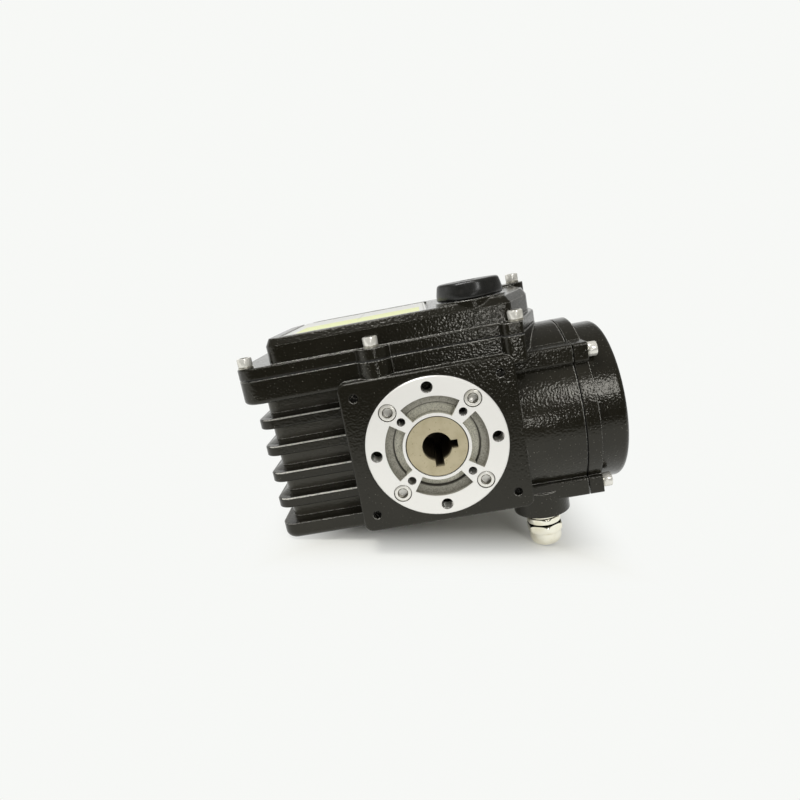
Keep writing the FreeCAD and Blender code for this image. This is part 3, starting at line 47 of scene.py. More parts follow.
class Value:
    """One shader socket, on which arithmetic adds the Math nodes it needs."""

    def __init__(self, tree, socket):
        self.tree = tree
        self.socket = socket

    def node(self, kind, settings, sockets, output=0):
        """A new node: its settings first, then a value or a link for each socket."""
        made = self.tree.nodes.new(kind)
        for name, setting in settings.items():
            setattr(made, name, setting)
        for name, fed in sockets.items():
            if isinstance(fed, Value):
                self.tree.links.new(fed.socket, made.inputs[name])
            else:
                made.inputs[name].default_value = fed
        return Value(self.tree, made.outputs[output])

    def maths(self, operation, first, second=0.0):
        return self.node("ShaderNodeMath", {"operation": operation}, {0: first, 1: second})

    def __add__(self, other):
        return self.maths("ADD", self, other)

    def __radd__(self, other):
        return self.maths("ADD", other, self)

    def __sub__(self, other):
        return self.maths("SUBTRACT", self, other)

    def __rsub__(self, other):
        return self.maths("SUBTRACT", other, self)

    def __mul__(self, other):
        return self.maths("MULTIPLY", self, other)

    def __rmul__(self, other):
        return self.maths("MULTIPLY", other, self)

    def __abs__(self):
        return self.maths("ABSOLUTE", self)

    def greater(self, other):
        return self.maths("MAXIMUM", self, other)

    def lesser(self, other):
        return self.maths("MINIMUM", self, other)

    def wave(self, length):
        """A sine of this coordinate, between -1 and 1."""
        return self.maths("SINE", self * (2 * math.pi / length))

    def step(self, low, high):
        """0 at low, 1 at high, smooth between them."""
        ends = {"Value": self, "From Min": min(low, high), "From Max": max(low, high)}
        if low > high:
            ends.update({"To Min": 1.0, "To Max": 0.0})
        return self.node("ShaderNodeMapRange", {"interpolation_type": "SMOOTHSTEP"}, ends)

    def mixed(self, first, second):
        """Two colours mixed by this mask: the Mix node's sockets for colours are 6, 7 and 2."""
        return self.node(
            "ShaderNodeMix", {"data_type": "RGBA"}, {0: self, 6: first, 7: second}, 2
        )

    def part(self, letter):
        """One coordinate of a place."""
        return self.node("ShaderNodeSeparateXYZ", {}, {"Vector": self}, "XYZ".index(letter))

    def vector(self, operation, other=(0.0, 0.0, 0.0), output=0):
        """Vector Math; its second output, 1, is the plain number of a length or product."""
        return self.node(
            "ShaderNodeVectorMath", {"operation": operation}, {0: self, 1: other}, output
        )

    def from_axis(self, point, along):
        """Distance of a place from an axis through a point, in metres."""
        across = [0.0 if letter == along else 1.0 for letter in "XYZ"]
        return self.vector("SUBTRACT", point).vector("MULTIPLY", across).vector("LENGTH", output=1)

    def outside(self, low, high):
        """How far a place lies outside a box, negative inside it, in metres."""
        middle = [(a + b) / 2 for a, b in zip(low, high)]
        half = [(b - a) / 2 for a, b in zip(low, high)]
        past = self.vector("SUBTRACT", middle).vector("ABSOLUTE").vector("SUBTRACT", half)
        return past.part("X").greater(past.part("Y")).greater(past.part("Z"))

    def grain(self, scale, detail=2.0, stretch=(1.0, 1.0, 1.0)):
        """Noise over a place, with so many grains to the metre."""
        laid = self.vector("MULTIPLY", stretch)
        return self.node(
            "ShaderNodeTexNoise", {}, {"Vector": laid, "Scale": scale, "Detail": detail}
        )

    def rings(self, per_metre):
        """Noise over one distance: the marks that a tool leaves as it travels."""
        return self.node(
            "ShaderNodeTexNoise",
            {"noise_dimensions": "1D"},
            {"W": self, "Scale": per_metre, "Detail": 2.0},
        )


class Finish:
    """A new material: its Principled shader, and the place of each point on the piece."""

    def __init__(self, name):
        self.material = bpy.data.materials.new(name)
        self.material.use_nodes = True
        self.tree = self.material.node_tree
        self.shader = self.tree.nodes["Principled BSDF"]
        coordinates = self.tree.nodes.new("ShaderNodeTexCoord")
        self.place = Value(self.tree, coordinates.outputs["Object"])

    def set(self, **fed):
        """Feeds the shader's sockets, each named with _ for a space."""
        for name, value in fed.items():
            socket = self.shader.inputs[name.replace("_", " ")]
            if isinstance(value, Value):
                self.tree.links.new(value.socket, socket)
            else:
                socket.default_value = value

    def rounded(self, edge):
        """The surface's direction as if each edge had this radius."""
        return self.place.node("ShaderNodeBevel", {"samples": 4}, {"Radius": edge})

    def flat(self):
        """The direction of the face itself."""
        geometry = self.tree.nodes.new("ShaderNodeNewGeometry")
        return Value(self.tree, geometry.outputs["True Normal"])

    def edge_highlight(self, edge):
        """1 along the sharp edges that face up or right, towards the lamps, where a highlight is
        painted.
        """
        round_edge = self.rounded(edge)
        turn = round_edge.vector("DOT_PRODUCT", self.flat(), 1)
        up_and_right = (0.42, 0.0, 0.90)
        reached = round_edge.vector("DOT_PRODUCT", up_and_right, 1)
        return turn.step(0.985, 0.88) * reached.step(0.12, 0.45)

    def bump(self, height, depth, edge=0.0002):
        """Relief of a depth in metres, over edges that catch the light as if rounded."""
        rounded = self.rounded(edge)
        relief = self.place.node(
            "ShaderNodeBump", {}, {"Height": height, "Distance": depth, "Normal": rounded}
        )
        self.set(Normal=relief)


def rgb(red, green, blue):
    """A colour in linear light, opaque."""
    return (red, green, blue, 1.0)


def dress(material, *nodes):
    """Gives CAD nodes a finish, on their own unchanged mesh."""
    for name in nodes:
        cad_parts[name].data.materials.clear()
        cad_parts[name].data.materials.append(material)


def mm(*sizes):
    """Sizes in millimetres, as Blender's metres."""
    return tuple(size * 0.001 for size in sizes)


peel_per_metre = 840.0
pits_per_metre = 2100.0
peel_depth = 0.00014
edge_radius = 0.0012
highlight_edge = 0.0009
coat_black = rgb(0.0095, 0.0085, 0.0055)
coat_dusty = rgb(0.015, 0.0135, 0.0095)
coat_fleck = rgb(0.13, 0.125, 0.105)
# Painted highlight: the colour laid along edges that face the lamps.
coat_highlight = rgb(0.72, 0.70, 0.64)
# Painted reflection of the floor, laid on the walls between the fins.
coat_floor_reflection = rgb(0.055, 0.051, 0.040)
coat_shine = rgb(1.0, 0.975, 0.89)
as_cast = rgb(0.44, 0.44, 0.43)
cut_bright = rgb(0.80, 0.79, 0.77)
lip_facing = (0.0, -0.7071, 0.7071)


def powder_coat(name, bare=None, cut=None, floor_reflection=None, wear_and_highlight=None):
    """The black coat; masks tell where the casting shows and where highlight and reflection are
    painted.
    """
    finish = Finish(name)
    place = finish.place
    peel = place.grain(peel_per_metre, 0.5)
    pits = place.grain(pits_per_metre, 1.0)
    patches = place.grain(28.0, 3.0)
    flecks = place.grain(1350.0, 0.0).step(0.775, 0.83)
    colour = patches.step(0.45, 0.8).mixed(coat_black, coat_dusty)
    # The walls between the fins are painted lighter, as a reflection of the white floor.
    if floor_reflection:
        colour = floor_reflection(place).mixed(colour, coat_floor_reflection)
    # A highlight is painted along the edges that face up or right, towards the lamps.
    glints = finish.edge_highlight(highlight_edge) * pits.step(0.42, 0.56)
    # Painted highlight on the fins' front lips that face up and forward.
    if wear_and_highlight:
        lip = finish.flat().vector("DOT_PRODUCT", lip_facing, 1).step(0.80, 0.93)
        glints = glints.greater(wear_and_highlight(place) * lip * pits.step(0.3, 0.5))
    colour = flecks.mixed(colour, coat_fleck)
    colour = glints.mixed(colour, coat_highlight)
    rough = 0.08 + patches * 0.07 + pits * 0.05
    metal = 0.0
    if bare:
        shown = bare(place)
        colour = shown.mixed(colour, as_cast)
        rough = rough + shown * 0.28
        metal = shown
    if cut:
        shown = cut(place)
        colour = shown.mixed(colour, cut_bright)
        rough = rough + shown * 0.08
        metal = shown.greater(metal)
    finish.set(
        Base_Color=colour, Metallic=metal, Roughness=rough, IOR=1.46, Specular_Tint=coat_shine
    )
    finish.bump(peel + pits * 0.1, peel_depth, edge_radius)
    return finish.material


drum_axis = mm(0.0, 57.0, -3.0)
drum_bore_r = 0.0507
drum_floor_x = 0.0500
drum_face_x = 0.08393
cap_spigot_r = 0.0540
plate_hole = mm(41.6, 0.0, 35.35)
mask_edge = 0.0001
fine_edge = 0.00002


def housing_inside(place):
    """The gear case, the motor chamber and the terminal compartment, as cast."""
    case = place.outside(mm(-44.2, 17.8, -45.7), mm(47.9, 107.7, 60.0))
    chamber = place.outside(mm(-95.8, 36.8, -45.7), mm(-40.0, 99.2, 60.0))
    drum = place.from_axis(drum_axis, "X") - drum_bore_r
    compartment = drum.greater(drum_floor_x - place.part("X"))
    return case.lesser(chamber).lesser(compartment).step(mask_edge, -mask_edge)


def housing_joints(place):
    """The milled faces under cover and cap, and the glints of thread in the plate's holes."""
    rim = place.outside(mm(-106.8, 11.0, 54.03), mm(56.5, 111.0, 60.0))
    spigot = place.from_axis(drum_axis, "X") - cap_spigot_r
    seat = spigot.greater(drum_face_x - place.part("X"))
    hole = place.vector("ABSOLUTE").from_axis(plate_hole, "Y").step(0.00265, 0.0025)
    glints = place.grain(700.0, 0.0).step(0.60, 0.68)
    thread = hole * place.part("Y").step(0.0018, 0.0024) * glints
    return rim.lesser(seat).step(fine_edge, -fine_edge).greater(thread)


def fin_lips(place):
    """The rounded front edges of the fins and of the slab under them, where a highlight is
    painted.
    """
    lips = place.outside(mm(-112.0, 15.0, -60.0), mm(-46.0, 22.5, 36.0))
    return lips.step(mask_edge, -mask_edge)


def fin_gaps(place):
    """The wall between the fins, painted lighter as a reflection of the floor."""
    return place.outside(mm(-112.0, 26.0, -68.0), mm(-46.0, 112.0, 37.0)).step(0.003, -0.003)


housing_coat = powder_coat(
    "housing_powder_coat", housing_inside, housing_joints, fin_gaps, fin_lips
)
dress(housing_coat, "gear_housing")


# Mounting flange: a turned aluminium ring let into the front plate, its face a little proud.
# Four arc pockets keep their rough cast floor; four holes on 70 mm and four on 50 mm are
# tapped, and four cap screws hold the ring in the housing.
large_circle_r = 0.035
small_circle_r = 0.025
screw_circle_r = 0.03435
diagonal = math.sqrt(0.5)
pocket_inner = mm(19.3, 19.6)
pocket_outer = mm(30.1, 29.8)
ledge_r = 0.0250
ring_face = rgb(0.85, 0.835, 0.795)
ring_pocket = rgb(0.64, 0.62, 0.52)
# Painted shade for the pockets' outer band, the holes and screw seats, and the pockets' ledge.
ring_pocket_shade = rgb(0.36, 0.345, 0.29)
ring_hole_shade = rgb(0.22, 0.21, 0.185)
ring_ledge_shade = rgb(0.06, 0.055, 0.045)


def turned_ring():
    """Bright turned face, with masks by radius for the pockets, holes and screw seats, where shade
    is painted.
    """
    finish = Finish("turned_flange_ring")
    place = finish.place
    radius = place.from_axis((0.0, 0.0, 0.0), "Y")
    depth = place.part("Y")
    marks = radius.rings(5200.0)
    sand = place.grain(2100.0, 2.0)
    blots = place.grain(60.0, 3.0)
    across = place.vector("ABSOLUTE")
    past = across.part("X").greater(across.part("Z")) - large_circle_r
    narrow = across.part("X").lesser(across.part("Z"))
    large = (past * past + narrow * narrow).step(0.0038**2, 0.0036**2)
    pocket_wall = radius.step(*pocket_inner) * radius.step(*pocket_outer)
    pocket = depth.step(0.0003, 0.0009) * pocket_wall
    small_at = (small_circle_r * diagonal, 0.0, small_circle_r * diagonal)
    small = across.from_axis(small_at, "Y").step(0.0029, 0.0027)
    seat_at = (screw_circle_r * diagonal, 0.0, screw_circle_r * diagonal)
    seat = across.from_axis(seat_at, "Y").step(0.0057, 0.0055)
    # Painted shade: the holes, the screw seats, the pockets' ledge and their outer band are
    # darker.
    hole = large.greater(small).greater(seat) * depth.step(0.0002, 0.0006)
    ledge = abs(radius - ledge_r).step(0.0007, 0.0001) * pocket
    floor = radius.step(ledge_r - 0.0002, ledge_r + 0.0002).mixed(ring_pocket, ring_pocket_shade)
    in_the_pits = floor.vector("MULTIPLY", (0.55, 0.55, 0.55))
    floor = sand.step(0.36, 0.54).mixed(in_the_pits, floor)
    metal = pocket.mixed(ring_face, floor)
    metal = ledge.mixed(metal, ring_ledge_shade)
    metal = hole.mixed(metal, ring_hole_shade)
    finish.set(
        Base_Color=metal,
        Metallic=0.22,
        Roughness=0.26 + marks * 0.1 + blots * 0.06 + pocket * 0.3,
    )
    finish.bump(marks * (1.0 - pocket) * 0.14 + sand * pocket, 0.00012, 0.00015)
    return finish.material


dress(turned_ring(), "mounting_flange_ring")


def kept(shape, name, material, body, slot, *replaced):
    """Writes a finished bmesh to a piece that rides on a body, in place of CAD nodes."""
    mesh = bpy.data.meshes.new(name)
    shape.to_mesh(mesh)
    shape.free()
    for used in material if isinstance(material, tuple) else (material,):
        mesh.materials.append(used)
    mesh.shade_smooth()
    mesh.set_sharp_from_angle(angle=math.radians(32))
    piece = bpy.data.objects.new(name, mesh)
    bpy.context.scene.collection.objects.link(piece)
    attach(piece, body)
    if replaced:
        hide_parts(*replaced)
    return piece


def facing(point, direction):
    """Carries a shape drawn about Z to a point, its top facing a direction."""
    turn = Vector((0.0, 0.0, 1.0)).rotation_difference(Vector(direction))
    return Matrix.Translation(point) @ turn.to_matrix().to_4x4()


def repeated(template, carries, whole=None):
    """One bmesh with a copy of a template at each place, added to a whole if there is one."""
    pattern = bpy.data.meshes.new("pattern")
    template.to_mesh(pattern)
    template.free()
    if whole is None:
        whole = bmesh.new()
    for carry in carries:
        before = len(whole.verts)
        whole.from_mesh(pattern)
        whole.verts.ensure_lookup_table()
        bmesh.ops.transform(whole, matrix=carry, verts=whole.verts[before:])
    bpy.data.meshes.remove(pattern)
    return whole


def turned(shape, profile, steps):
    """Spins a (radius, height) line once round Z and returns the new edges at its start."""
    line = [shape.verts.new((radius, 0.0, height)) for radius, height in profile]
    edges = [shape.edges.new(pair) for pair in zip(line, line[1:])]
    bmesh.ops.spin(
        shape,
        geom=line + edges,
        cent=(0.0, 0.0, 0.0),
        axis=(0.0, 0.0, 1.0),
        angle=2 * math.pi,
        steps=steps,
        use_merge=True,
    )
    radius, height = profile[0]
    return [
        edge
        for edge in shape.edges
        if all(
            abs(v.co.z - height) < 1e-7 and abs(v.co.xy.length - radius) < 1e-6
            for v in edge.verts
        )
    ]


def thread_coil(radius, depth, pitch, turns):
    """The crests of an inside thread: a three-sided coil that runs down the hole."""
    coil = bmesh.new()
    steps_per_turn = 20
    section = [
        coil.verts.new((radius, 0.0, 0.0)),
        coil.verts.new((radius - depth, 0.0, pitch * 0.38)),
        coil.verts.new((radius, 0.0, pitch * 0.76)),
    ]
    face = coil.faces.new(section)
    bmesh.ops.spin(
        coil,
        geom=[face],
        cent=(0.0, 0.0, 0.0),
        axis=(0.0, 0.0, 1.0),
        dvec=(0.0, 0.0, pitch / steps_per_turn),
        angle=2 * math.pi * turns,
        steps=int(steps_per_turn * turns),
    )
    bmesh.ops.recalc_face_normals(coil, faces=coil.faces)
    return coil


def machined_metal(name, colour, stain, rough, metal=1.0):
    """Cut or rolled metal: fine scratches, faint stains and slightly rubbed edges."""
    finish = Finish(name)
    place = finish.place
    scratches = place.grain(900.0, 3.0, (1.0, 1.0, 4.0))
    stains = place.grain(95.0, 4.0)
    finish.set(
        Base_Color=stains.step(0.42, 0.78).mixed(colour, stain),
        Metallic=metal,
        Roughness=rough - 0.06 + scratches * 0.1 + stains * 0.06,
    )
    finish.bump(scratches, 0.00001, 0.00018)
    return finish.material


tapped = machined_metal("tapped_hole", rgb(0.74, 0.73, 0.70), rgb(0.5, 0.48, 0.43), 0.3)
large_threads = [facing((x * large_circle_r, 0.001, z * large_circle_r), (0, 1, 0))
                 for x, z in ((1, 0), (0, 1), (-1, 0), (0, -1))]
kept(repeated(thread_coil(*mm(3.42, 0.3, 1.25), 7.5), large_threads),
     "large_hole_threads", tapped, "housing", "machined_aluminium")
corners = [(x * diagonal, z * diagonal) for x in (-1, 1) for z in (-1, 1)]
small_threads = [facing((x * small_circle_r, 0.0008, z * small_circle_r), (0, 1, 0))
                 for x, z in corners]
kept(repeated(thread_coil(*mm(2.52, 0.22, 1.0), 10.0), small_threads),
     "small_hole_threads", tapped, "housing", "machined_aluminium")

stainless = machined_metal(
    "cold_formed_stainless", rgb(0.84, 0.82, 0.76), rgb(0.70, 0.67, 0.58), 0.22, metal=0.45
)
# Dark steel for the hexagon sockets' walls: painted shade inside the socket.
socket_shade = machined_metal(
    "socket_painted_shade", rgb(0.16, 0.15, 0.12), rgb(0.10, 0.09, 0.07), 0.3, metal=0.8
)


def drawn(shape, edges, height):
    """Extrudes a level loop of edges to a height and returns the new loop."""
    grown = bmesh.ops.extrude_edge_only(shape, edges=edges)["geom"]
    level = [item for item in grown if isinstance(item, bmesh.types.BMVert)]
    for vert in level:
        vert.co.z = height
    return [
        item for item in grown
        if isinstance(item, bmesh.types.BMEdge) and all(v in level for v in item.verts)
    ]


def cap_screw(head_r, head_h, socket, shank_r, length, pitch, knurled=True):
    """A socket cap screw about Z, seated at the origin, its head towards +Z.

    The walls of its hexagon socket take the second material, a dark steel that paints their shade.
    """
    screw = bmesh.new()
    steps = 72
    bmesh.ops.create_circle(screw, segments=6, radius=socket / math.sqrt(3))
    bmesh.ops.subdivide_edges(screw, edges=screw.edges[:], cuts=steps // 6 - 1)
    bmesh.ops.translate(screw, vec=(0.0, 0.0, head_h - head_h * 0.03), verts=screw.verts[:])
    mouth = screw.edges[:]
    sunk = drawn(screw, mouth, head_h * 0.47)
    bottom = bmesh.ops.contextual_create(screw, geom=sunk)["faces"]
    bmesh.ops.poke(screw, faces=bottom, offset=-head_h * 0.08)
    for face in screw.faces:
        face.material_index = int(abs(face.normal.z) < 0.5)
    chamfer = head_r * 0.11
    root_r = shank_r * 0.88
    profile = [
        (socket * 0.62, head_h),
        (head_r - chamfer * 1.6, head_h),
        (head_r - chamfer * 0.5, head_h - chamfer * 0.4),
        (head_r, head_h - chamfer * 1.4),
        (head_r, head_h * 0.14),
        (head_r - chamfer * 0.7, 0.0),
        (shank_r, 0.0),
    ]
    height = -pitch
    while height - pitch > -length:
        profile += [(shank_r, height), (root_r, height - pitch * 0.5)]
        height -= pitch
    profile += [(shank_r, height), (shank_r * 0.8, -length), (0.0, -length)]
    rim = turned(screw, profile, steps)
    bmesh.ops.bridge_loops(screw, edges=mouth + rim)
    bmesh.ops.remove_doubles(screw, verts=screw.verts[:], dist=1e-7)
    if knurled:
        valley = 0.965
        for vert in screw.verts:
            on_side = abs(vert.co.xy.length - head_r) < 1e-6
            if on_side and round(math.atan2(vert.co.y, vert.co.x) * steps / (2 * math.pi)) % 2:
                vert.co.xy *= valley
    bmesh.ops.recalc_face_normals(screw, faces=screw.faces)
    return screw


ring_screw = mm(5.0, 6.0, 5.0, 3.0, 13.6, 1.0)
seat_depth = 0.0064
ring_seats = [(x * screw_circle_r, seat_depth, z * screw_circle_r) for x, z in corners]
kept(repeated(cap_screw(*ring_screw, knurled=False),
              [facing(seat, (0, -1, 0)) for seat in ring_seats]),
     "ring_cap_screws", (stainless, socket_shade), "housing", "stainless", "flange_ring_screws")


# Output group: a steel sleeve whose bore has two square keyways, the bronze worm wheel keyed
# on it, the stop cam, the moulded feedback gear and a ring that keeps them on. It runs in two
# sintered bushes behind a lip seal.
def turned_sleeve():
    """Phosphated steel with a brown-grey cast, faced on the lathe, its bore painted dark as shade.
    """
    finish = Finish("turned_sleeve")
    place = finish.place
    radius = place.from_axis((0.0, 0.0, 0.0), "Y")
    depth = place.part("Y")
    marks = radius.rings(3600.0)
    blots = place.grain(140.0, 4.0)
    specks = place.grain(900.0, 2.0).step(0.66, 0.74)
    face = blots.step(0.35, 0.75).mixed(rgb(0.58, 0.51, 0.345), rgb(0.505, 0.44, 0.285))
    face = specks.mixed(face, rgb(0.36, 0.30, 0.18))
    # Painted shade: the bore past its first 0.6 mm goes near black.
    bore = radius.step(0.0124, 0.0119) * depth.step(0.0006, 0.006)
    seam = radius.step(0.01735, 0.0176)
    finish.set(
        Base_Color=bore.greater(seam).mixed(face, rgb(0.07, 0.055, 0.035)),
        Metallic=0.6,
        Roughness=0.4 + marks * 0.12 + blots * 0.06,
    )
    finish.bump(marks, 0.000018, 0.00025)
    return finish.material


dress(turned_sleeve(), "output_sleeve")

ground = machined_metal("ground_steel", rgb(0.60, 0.59, 0.57), rgb(0.42, 0.40, 0.37), 0.3)
blackened = machined_metal(
    "oiled_black_steel", rgb(0.12, 0.115, 0.11), rgb(0.2, 0.18, 0.15), 0.42
)
dress(ground, "wheel_key", "stop_cam")
dress(blackened, "sleeve_circlip")


def cast_bronze(name):
    """Bronze turned about the output's axis, with brown stains left by the gear grease."""
    finish = Finish(name)
    place = finish.place
    marks = place.from_axis((0.0, 0.0, 0.0), "Y").rings(2600.0)
    stains = place.grain(120.0, 4.0)
    finish.set(
        Base_Color=stains.step(0.35, 0.75).mixed(rgb(0.62, 0.41, 0.16), rgb(0.34, 0.20, 0.075)),
        Metallic=1.0,
        Roughness=0.26 + marks * 0.14 + stains * 0.12,
    )
    finish.bump(marks, 0.00002, 0.0002)
    return finish.material


dress(cast_bronze("worm_wheel_bronze"), "worm_wheel")
dress(cast_bronze("bush_bronze"), "front_bush", "rear_bush")


def moulded(name, colour, wear_and_highlight, rough, scale=1300.0, depth=0.00002):
    """Moulded plastic: the mould's fine texture, faint flow marks and softened edges."""
    finish = Finish(name)
    place = finish.place
    texture = place.grain(scale, 2.0)
    flow = place.grain(45.0, 3.0)
    finish.set(
        Base_Color=flow.step(0.4, 0.8).mixed(colour, wear_and_highlight),
        Roughness=rough + texture * 0.08 + flow * 0.05,
        IOR=1.5,
    )
    finish.bump(texture, depth, 0.0003)
    return finish.material


acetal = moulded("natural_acetal", rgb(0.80, 0.78, 0.70), rgb(0.72, 0.69, 0.58), 0.36)
dress(acetal, "feedback_gear", "potentiometer_gear")

rubber = moulded(
    "matt_rubber", rgb(0.014, 0.014, 0.014), rgb(0.03, 0.029, 0.027), 0.62, 900.0, 0.00004
)
dress(rubber, "output_shaft_seal", "knob_shaft_seal", "gland_seal", "terminal_cap_seal")


# Worm and hand drive: a ground steel worm between two ball bearings, driven by a hobbed gear
# on its shaft; the shaft's stub comes out of the cover under the black hand knob.
def bearing_steel(name, point, shield_r):
    """Two bright rings with the pressed shield between them darker."""
    finish = Finish(name)
    place = finish.place
    radius = place.from_axis(point, "Z")
    half_width = 0.0016
    shield = abs(radius - shield_r).step(half_width, half_width * 0.9)
    marks = radius.rings(3000.0)
    finish.set(
        Base_Color=shield.mixed(rgb(0.66, 0.65, 0.63), rgb(0.34, 0.33, 0.31)),
        Metallic=1.0,
        Roughness=0.18 + marks * 0.12 + shield * 0.14,
    )
    finish.bump(marks, 0.00001, 0.0002)
    return finish.material


worm_axis = mm(34.0, 31.0, 0.0)
dress(bearing_steel("worm_bearing_steel", worm_axis, 0.009), "worm_bearings")


def hobbed_steel(name, point, hub_r):
    """Gear steel: bright worn flanks outside a darker, oiled web."""
    finish = Finish(name)
    place = finish.place
    radius = place.from_axis(point, "Z")
    web = radius.step(hub_r + 0.0004, hub_r - 0.0004)
    marks = radius.rings(2400.0)
    oil = place.grain(110.0, 3.0)
    steel = oil.step(0.4, 0.75).mixed(rgb(0.58, 0.56, 0.53), rgb(0.40, 0.37, 0.32))
    finish.set(
        Base_Color=web.mixed(steel, rgb(0.34, 0.325, 0.30)),
        Metallic=1.0,
        Roughness=0.24 + marks * 0.12 + oil * 0.1,
    )
    finish.bump(marks, 0.00002, 0.0002)
    return finish.material


dress(hobbed_steel("worm_steel", worm_axis, 0.0072), "worm_shaft")
dress(hobbed_steel("worm_gear_steel", worm_axis, 0.0135), "worm_shaft_gear")

knob_r = 0.0195
knob_foot = 0.0775
shoulder_r = 0.0165
scoops = 8
scoop_depth = 0.0011
scoop_turn = math.radians(97.0)
scoop_low = 0.002
scoop_height = 0.008


def knob_satin():
    """Moulded black phenolic: satin, with the mould's texture and a faint dusting."""
    finish = Finish("knob_phenolic")
    place = finish.place
    texture = place.grain(1500.0, 2.0)
    dust = place.grain(210.0, 4.0)
    black = rgb(0.009, 0.009, 0.008)
    dusty = rgb(0.022, 0.021, 0.019)
    finish.set(
        Base_Color=dust.step(0.5, 0.85).mixed(black, dusty),
        Roughness=0.2 + texture * 0.12 + dust * 0.06,
        IOR=1.53,
    )
    finish.bump(texture, 0.00002, 0.0003)
    return finish.material


knob = bmesh.new()
knob_line = [
    (2.75, 1.0), (2.75, 8.4), (4.55, 8.4), (4.55, 9.85), (4.75, 10.0), (12.0, 10.0),
    (16.4, 9.95), (17.4, 9.8), (18.1, 9.45), (18.55, 8.95), (18.8, 8.3), (18.97, 7.5),
    (19.13, 6.6), (19.28, 5.7), (19.4, 4.8), (19.5, 3.8), (19.45, 1.6), (19.2, 0.75),
    (18.6, 0.2), (17.6, 0.0), (7.0, 0.0), (5.03, 0.0), (5.03, 7.2), (2.75, 7.2),
]
turned(knob, [mm(*point) for point in knob_line], 144)
for vert in knob.verts:
    angle = math.atan2(vert.co.y, vert.co.x)
    hollow = 0.5 + 0.5 * math.cos(scoops * (angle + scoop_turn))
    rim = min(1.0, max(0.0, (vert.co.xy.length - shoulder_r) / (knob_r - shoulder_r)))
    rise = min(1.0, max(0.0, (vert.co.z - scoop_low) / scoop_height))
    vert.co.xy *= 1.0 - scoop_depth / knob_r * hollow * rim * rise
bmesh.ops.translate(knob, vec=(*worm_axis[:2], knob_foot), verts=knob.verts[:])
bmesh.ops.remove_doubles(knob, verts=knob.verts[:], dist=1e-7)
bmesh.ops.recalc_face_normals(knob, faces=knob.faces)
kept(knob, "moulded_hand_knob", knob_satin(), "worm", "knob_plastic", "hand_knob")
dress(stainless, "knob_screw")


# Reduction gears: two steel clusters that turn on fixed pins between the housing floor and
# the gear plate, each pin held by a push-on clip. The plate is sawn and drilled aluminium.
pin_2 = mm(10.184, 44.75, 0.0)
pin_1 = mm(-16.649, 52.749, 0.0)
motor_axis = mm(-52.009, 67.978, 0.0)
dress(hobbed_steel("cluster_1_steel", pin_1, 0.025), "cluster_gear_1")
dress(hobbed_steel("cluster_2_steel", pin_2, 0.017), "cluster_gear_2")
dress(ground, "gear_pins")


def rolled_plate(name, colour, stain, rough):
    """Rolled sheet: long fine lines one way, with handling stains."""
    finish = Finish(name)
    place = finish.place
    lines = place.grain(1500.0, 2.0, (0.04, 1.0, 1.0))
    stains = place.grain(70.0, 4.0)
    finish.set(
        Base_Color=stains.step(0.4, 0.8).mixed(colour, stain),
        Metallic=1.0,
        Roughness=rough + lines * 0.14 + stains * 0.06,
    )
    finish.bump(lines, 0.00001, 0.0003)
    return finish.material


plate_metal = rolled_plate("gear_plate_sheet", rgb(0.72, 0.72, 0.71), rgb(0.60, 0.60, 0.58), 0.3)
dress(plate_metal, "gear_plate")
zinc = machined_metal("zinc_plated_steel", rgb(0.66, 0.65, 0.60), rgb(0.50, 0.47, 0.38), 0.3)
dress(zinc, "gear_plate_screws", "motor_screws", "pin_clips")


# Motor: a pressed can round a laminated stator with varnished copper windings, two cast end
# bells with ball bearings, and a rotor whose steel pinion drives the first cluster.
can_metal = rolled_plate("motor_can_sheet", rgb(0.50, 0.50, 0.49), rgb(0.38, 0.37, 0.35), 0.34)
dress(can_metal, "motor_can")


def laminations():
    """Stamped sheets half a millimetre thick, stacked along the motor's axis."""
    finish = Finish("stator_laminations")
    place = finish.place
    sheet_t = 0.0005
    sheets = place.part("Z").wave(2 * sheet_t)
    rust = place.grain(160.0, 4.0)
    finish.set(
        Base_Color=rust.step(0.45, 0.8).mixed(rgb(0.30, 0.29, 0.28), rgb(0.20, 0.15, 0.11)),
        Metallic=1.0,
        Roughness=0.42 + sheets * 0.08,
    )
    finish.bump(sheets, 0.00008, 0.0002)
    return finish.material


dress(laminations(), "motor_stator_core")


def wound_copper():
    """Round wire laid side by side, under a coat of clear amber varnish."""
    finish = Finish("varnished_copper_wire")
    place = finish.place
    sway = place.grain(180.0, 2.0)
    radius = place.from_axis(motor_axis, "Z")
    strands = (radius + place.part("Z") * 0.6 + sway * 0.0008).wave(0.0009)
    finish.set(
        Base_Color=sway.step(0.35, 0.7).mixed(rgb(0.56, 0.22, 0.08), rgb(0.34, 0.11, 0.035)),
        Metallic=0.85,
        Roughness=0.28 + sway * 0.12,
        Coat_Weight=0.5,
        Coat_Roughness=0.15,
    )
    finish.bump(strands, 0.0002, 0.0003)
    return finish.material


dress(wound_copper(), "motor_windings")


def die_cast(name, colour, stain):
    """Die-cast aluminium left bare: a skin of fine flow marks and dull patches."""
    finish = Finish(name)
    place = finish.place
    skin = place.grain(700.0, 3.0)
    patches = place.grain(55.0, 4.0)
    finish.set(
        Base_Color=patches.step(0.35, 0.8).mixed(colour, stain),
        Metallic=1.0,
        Roughness=0.42 + skin * 0.12 + patches * 0.08,
    )
    finish.bump(skin, 0.00006, 0.0004)
    return finish.material


bell_metal = die_cast("end_bell_casting", rgb(0.56, 0.56, 0.55), rgb(0.42, 0.42, 0.40))
dress(bell_metal, "motor_lower_bell", "motor_upper_bell")
dress(bearing_steel("motor_bearing_steel", motor_axis, 0.0075), "motor_bearings")
dress(hobbed_steel("rotor_steel", motor_axis, 0.0042), "motor_rotor")
dress(hobbed_steel("pinion_steel", motor_axis, 0.003), "motor_pinion")


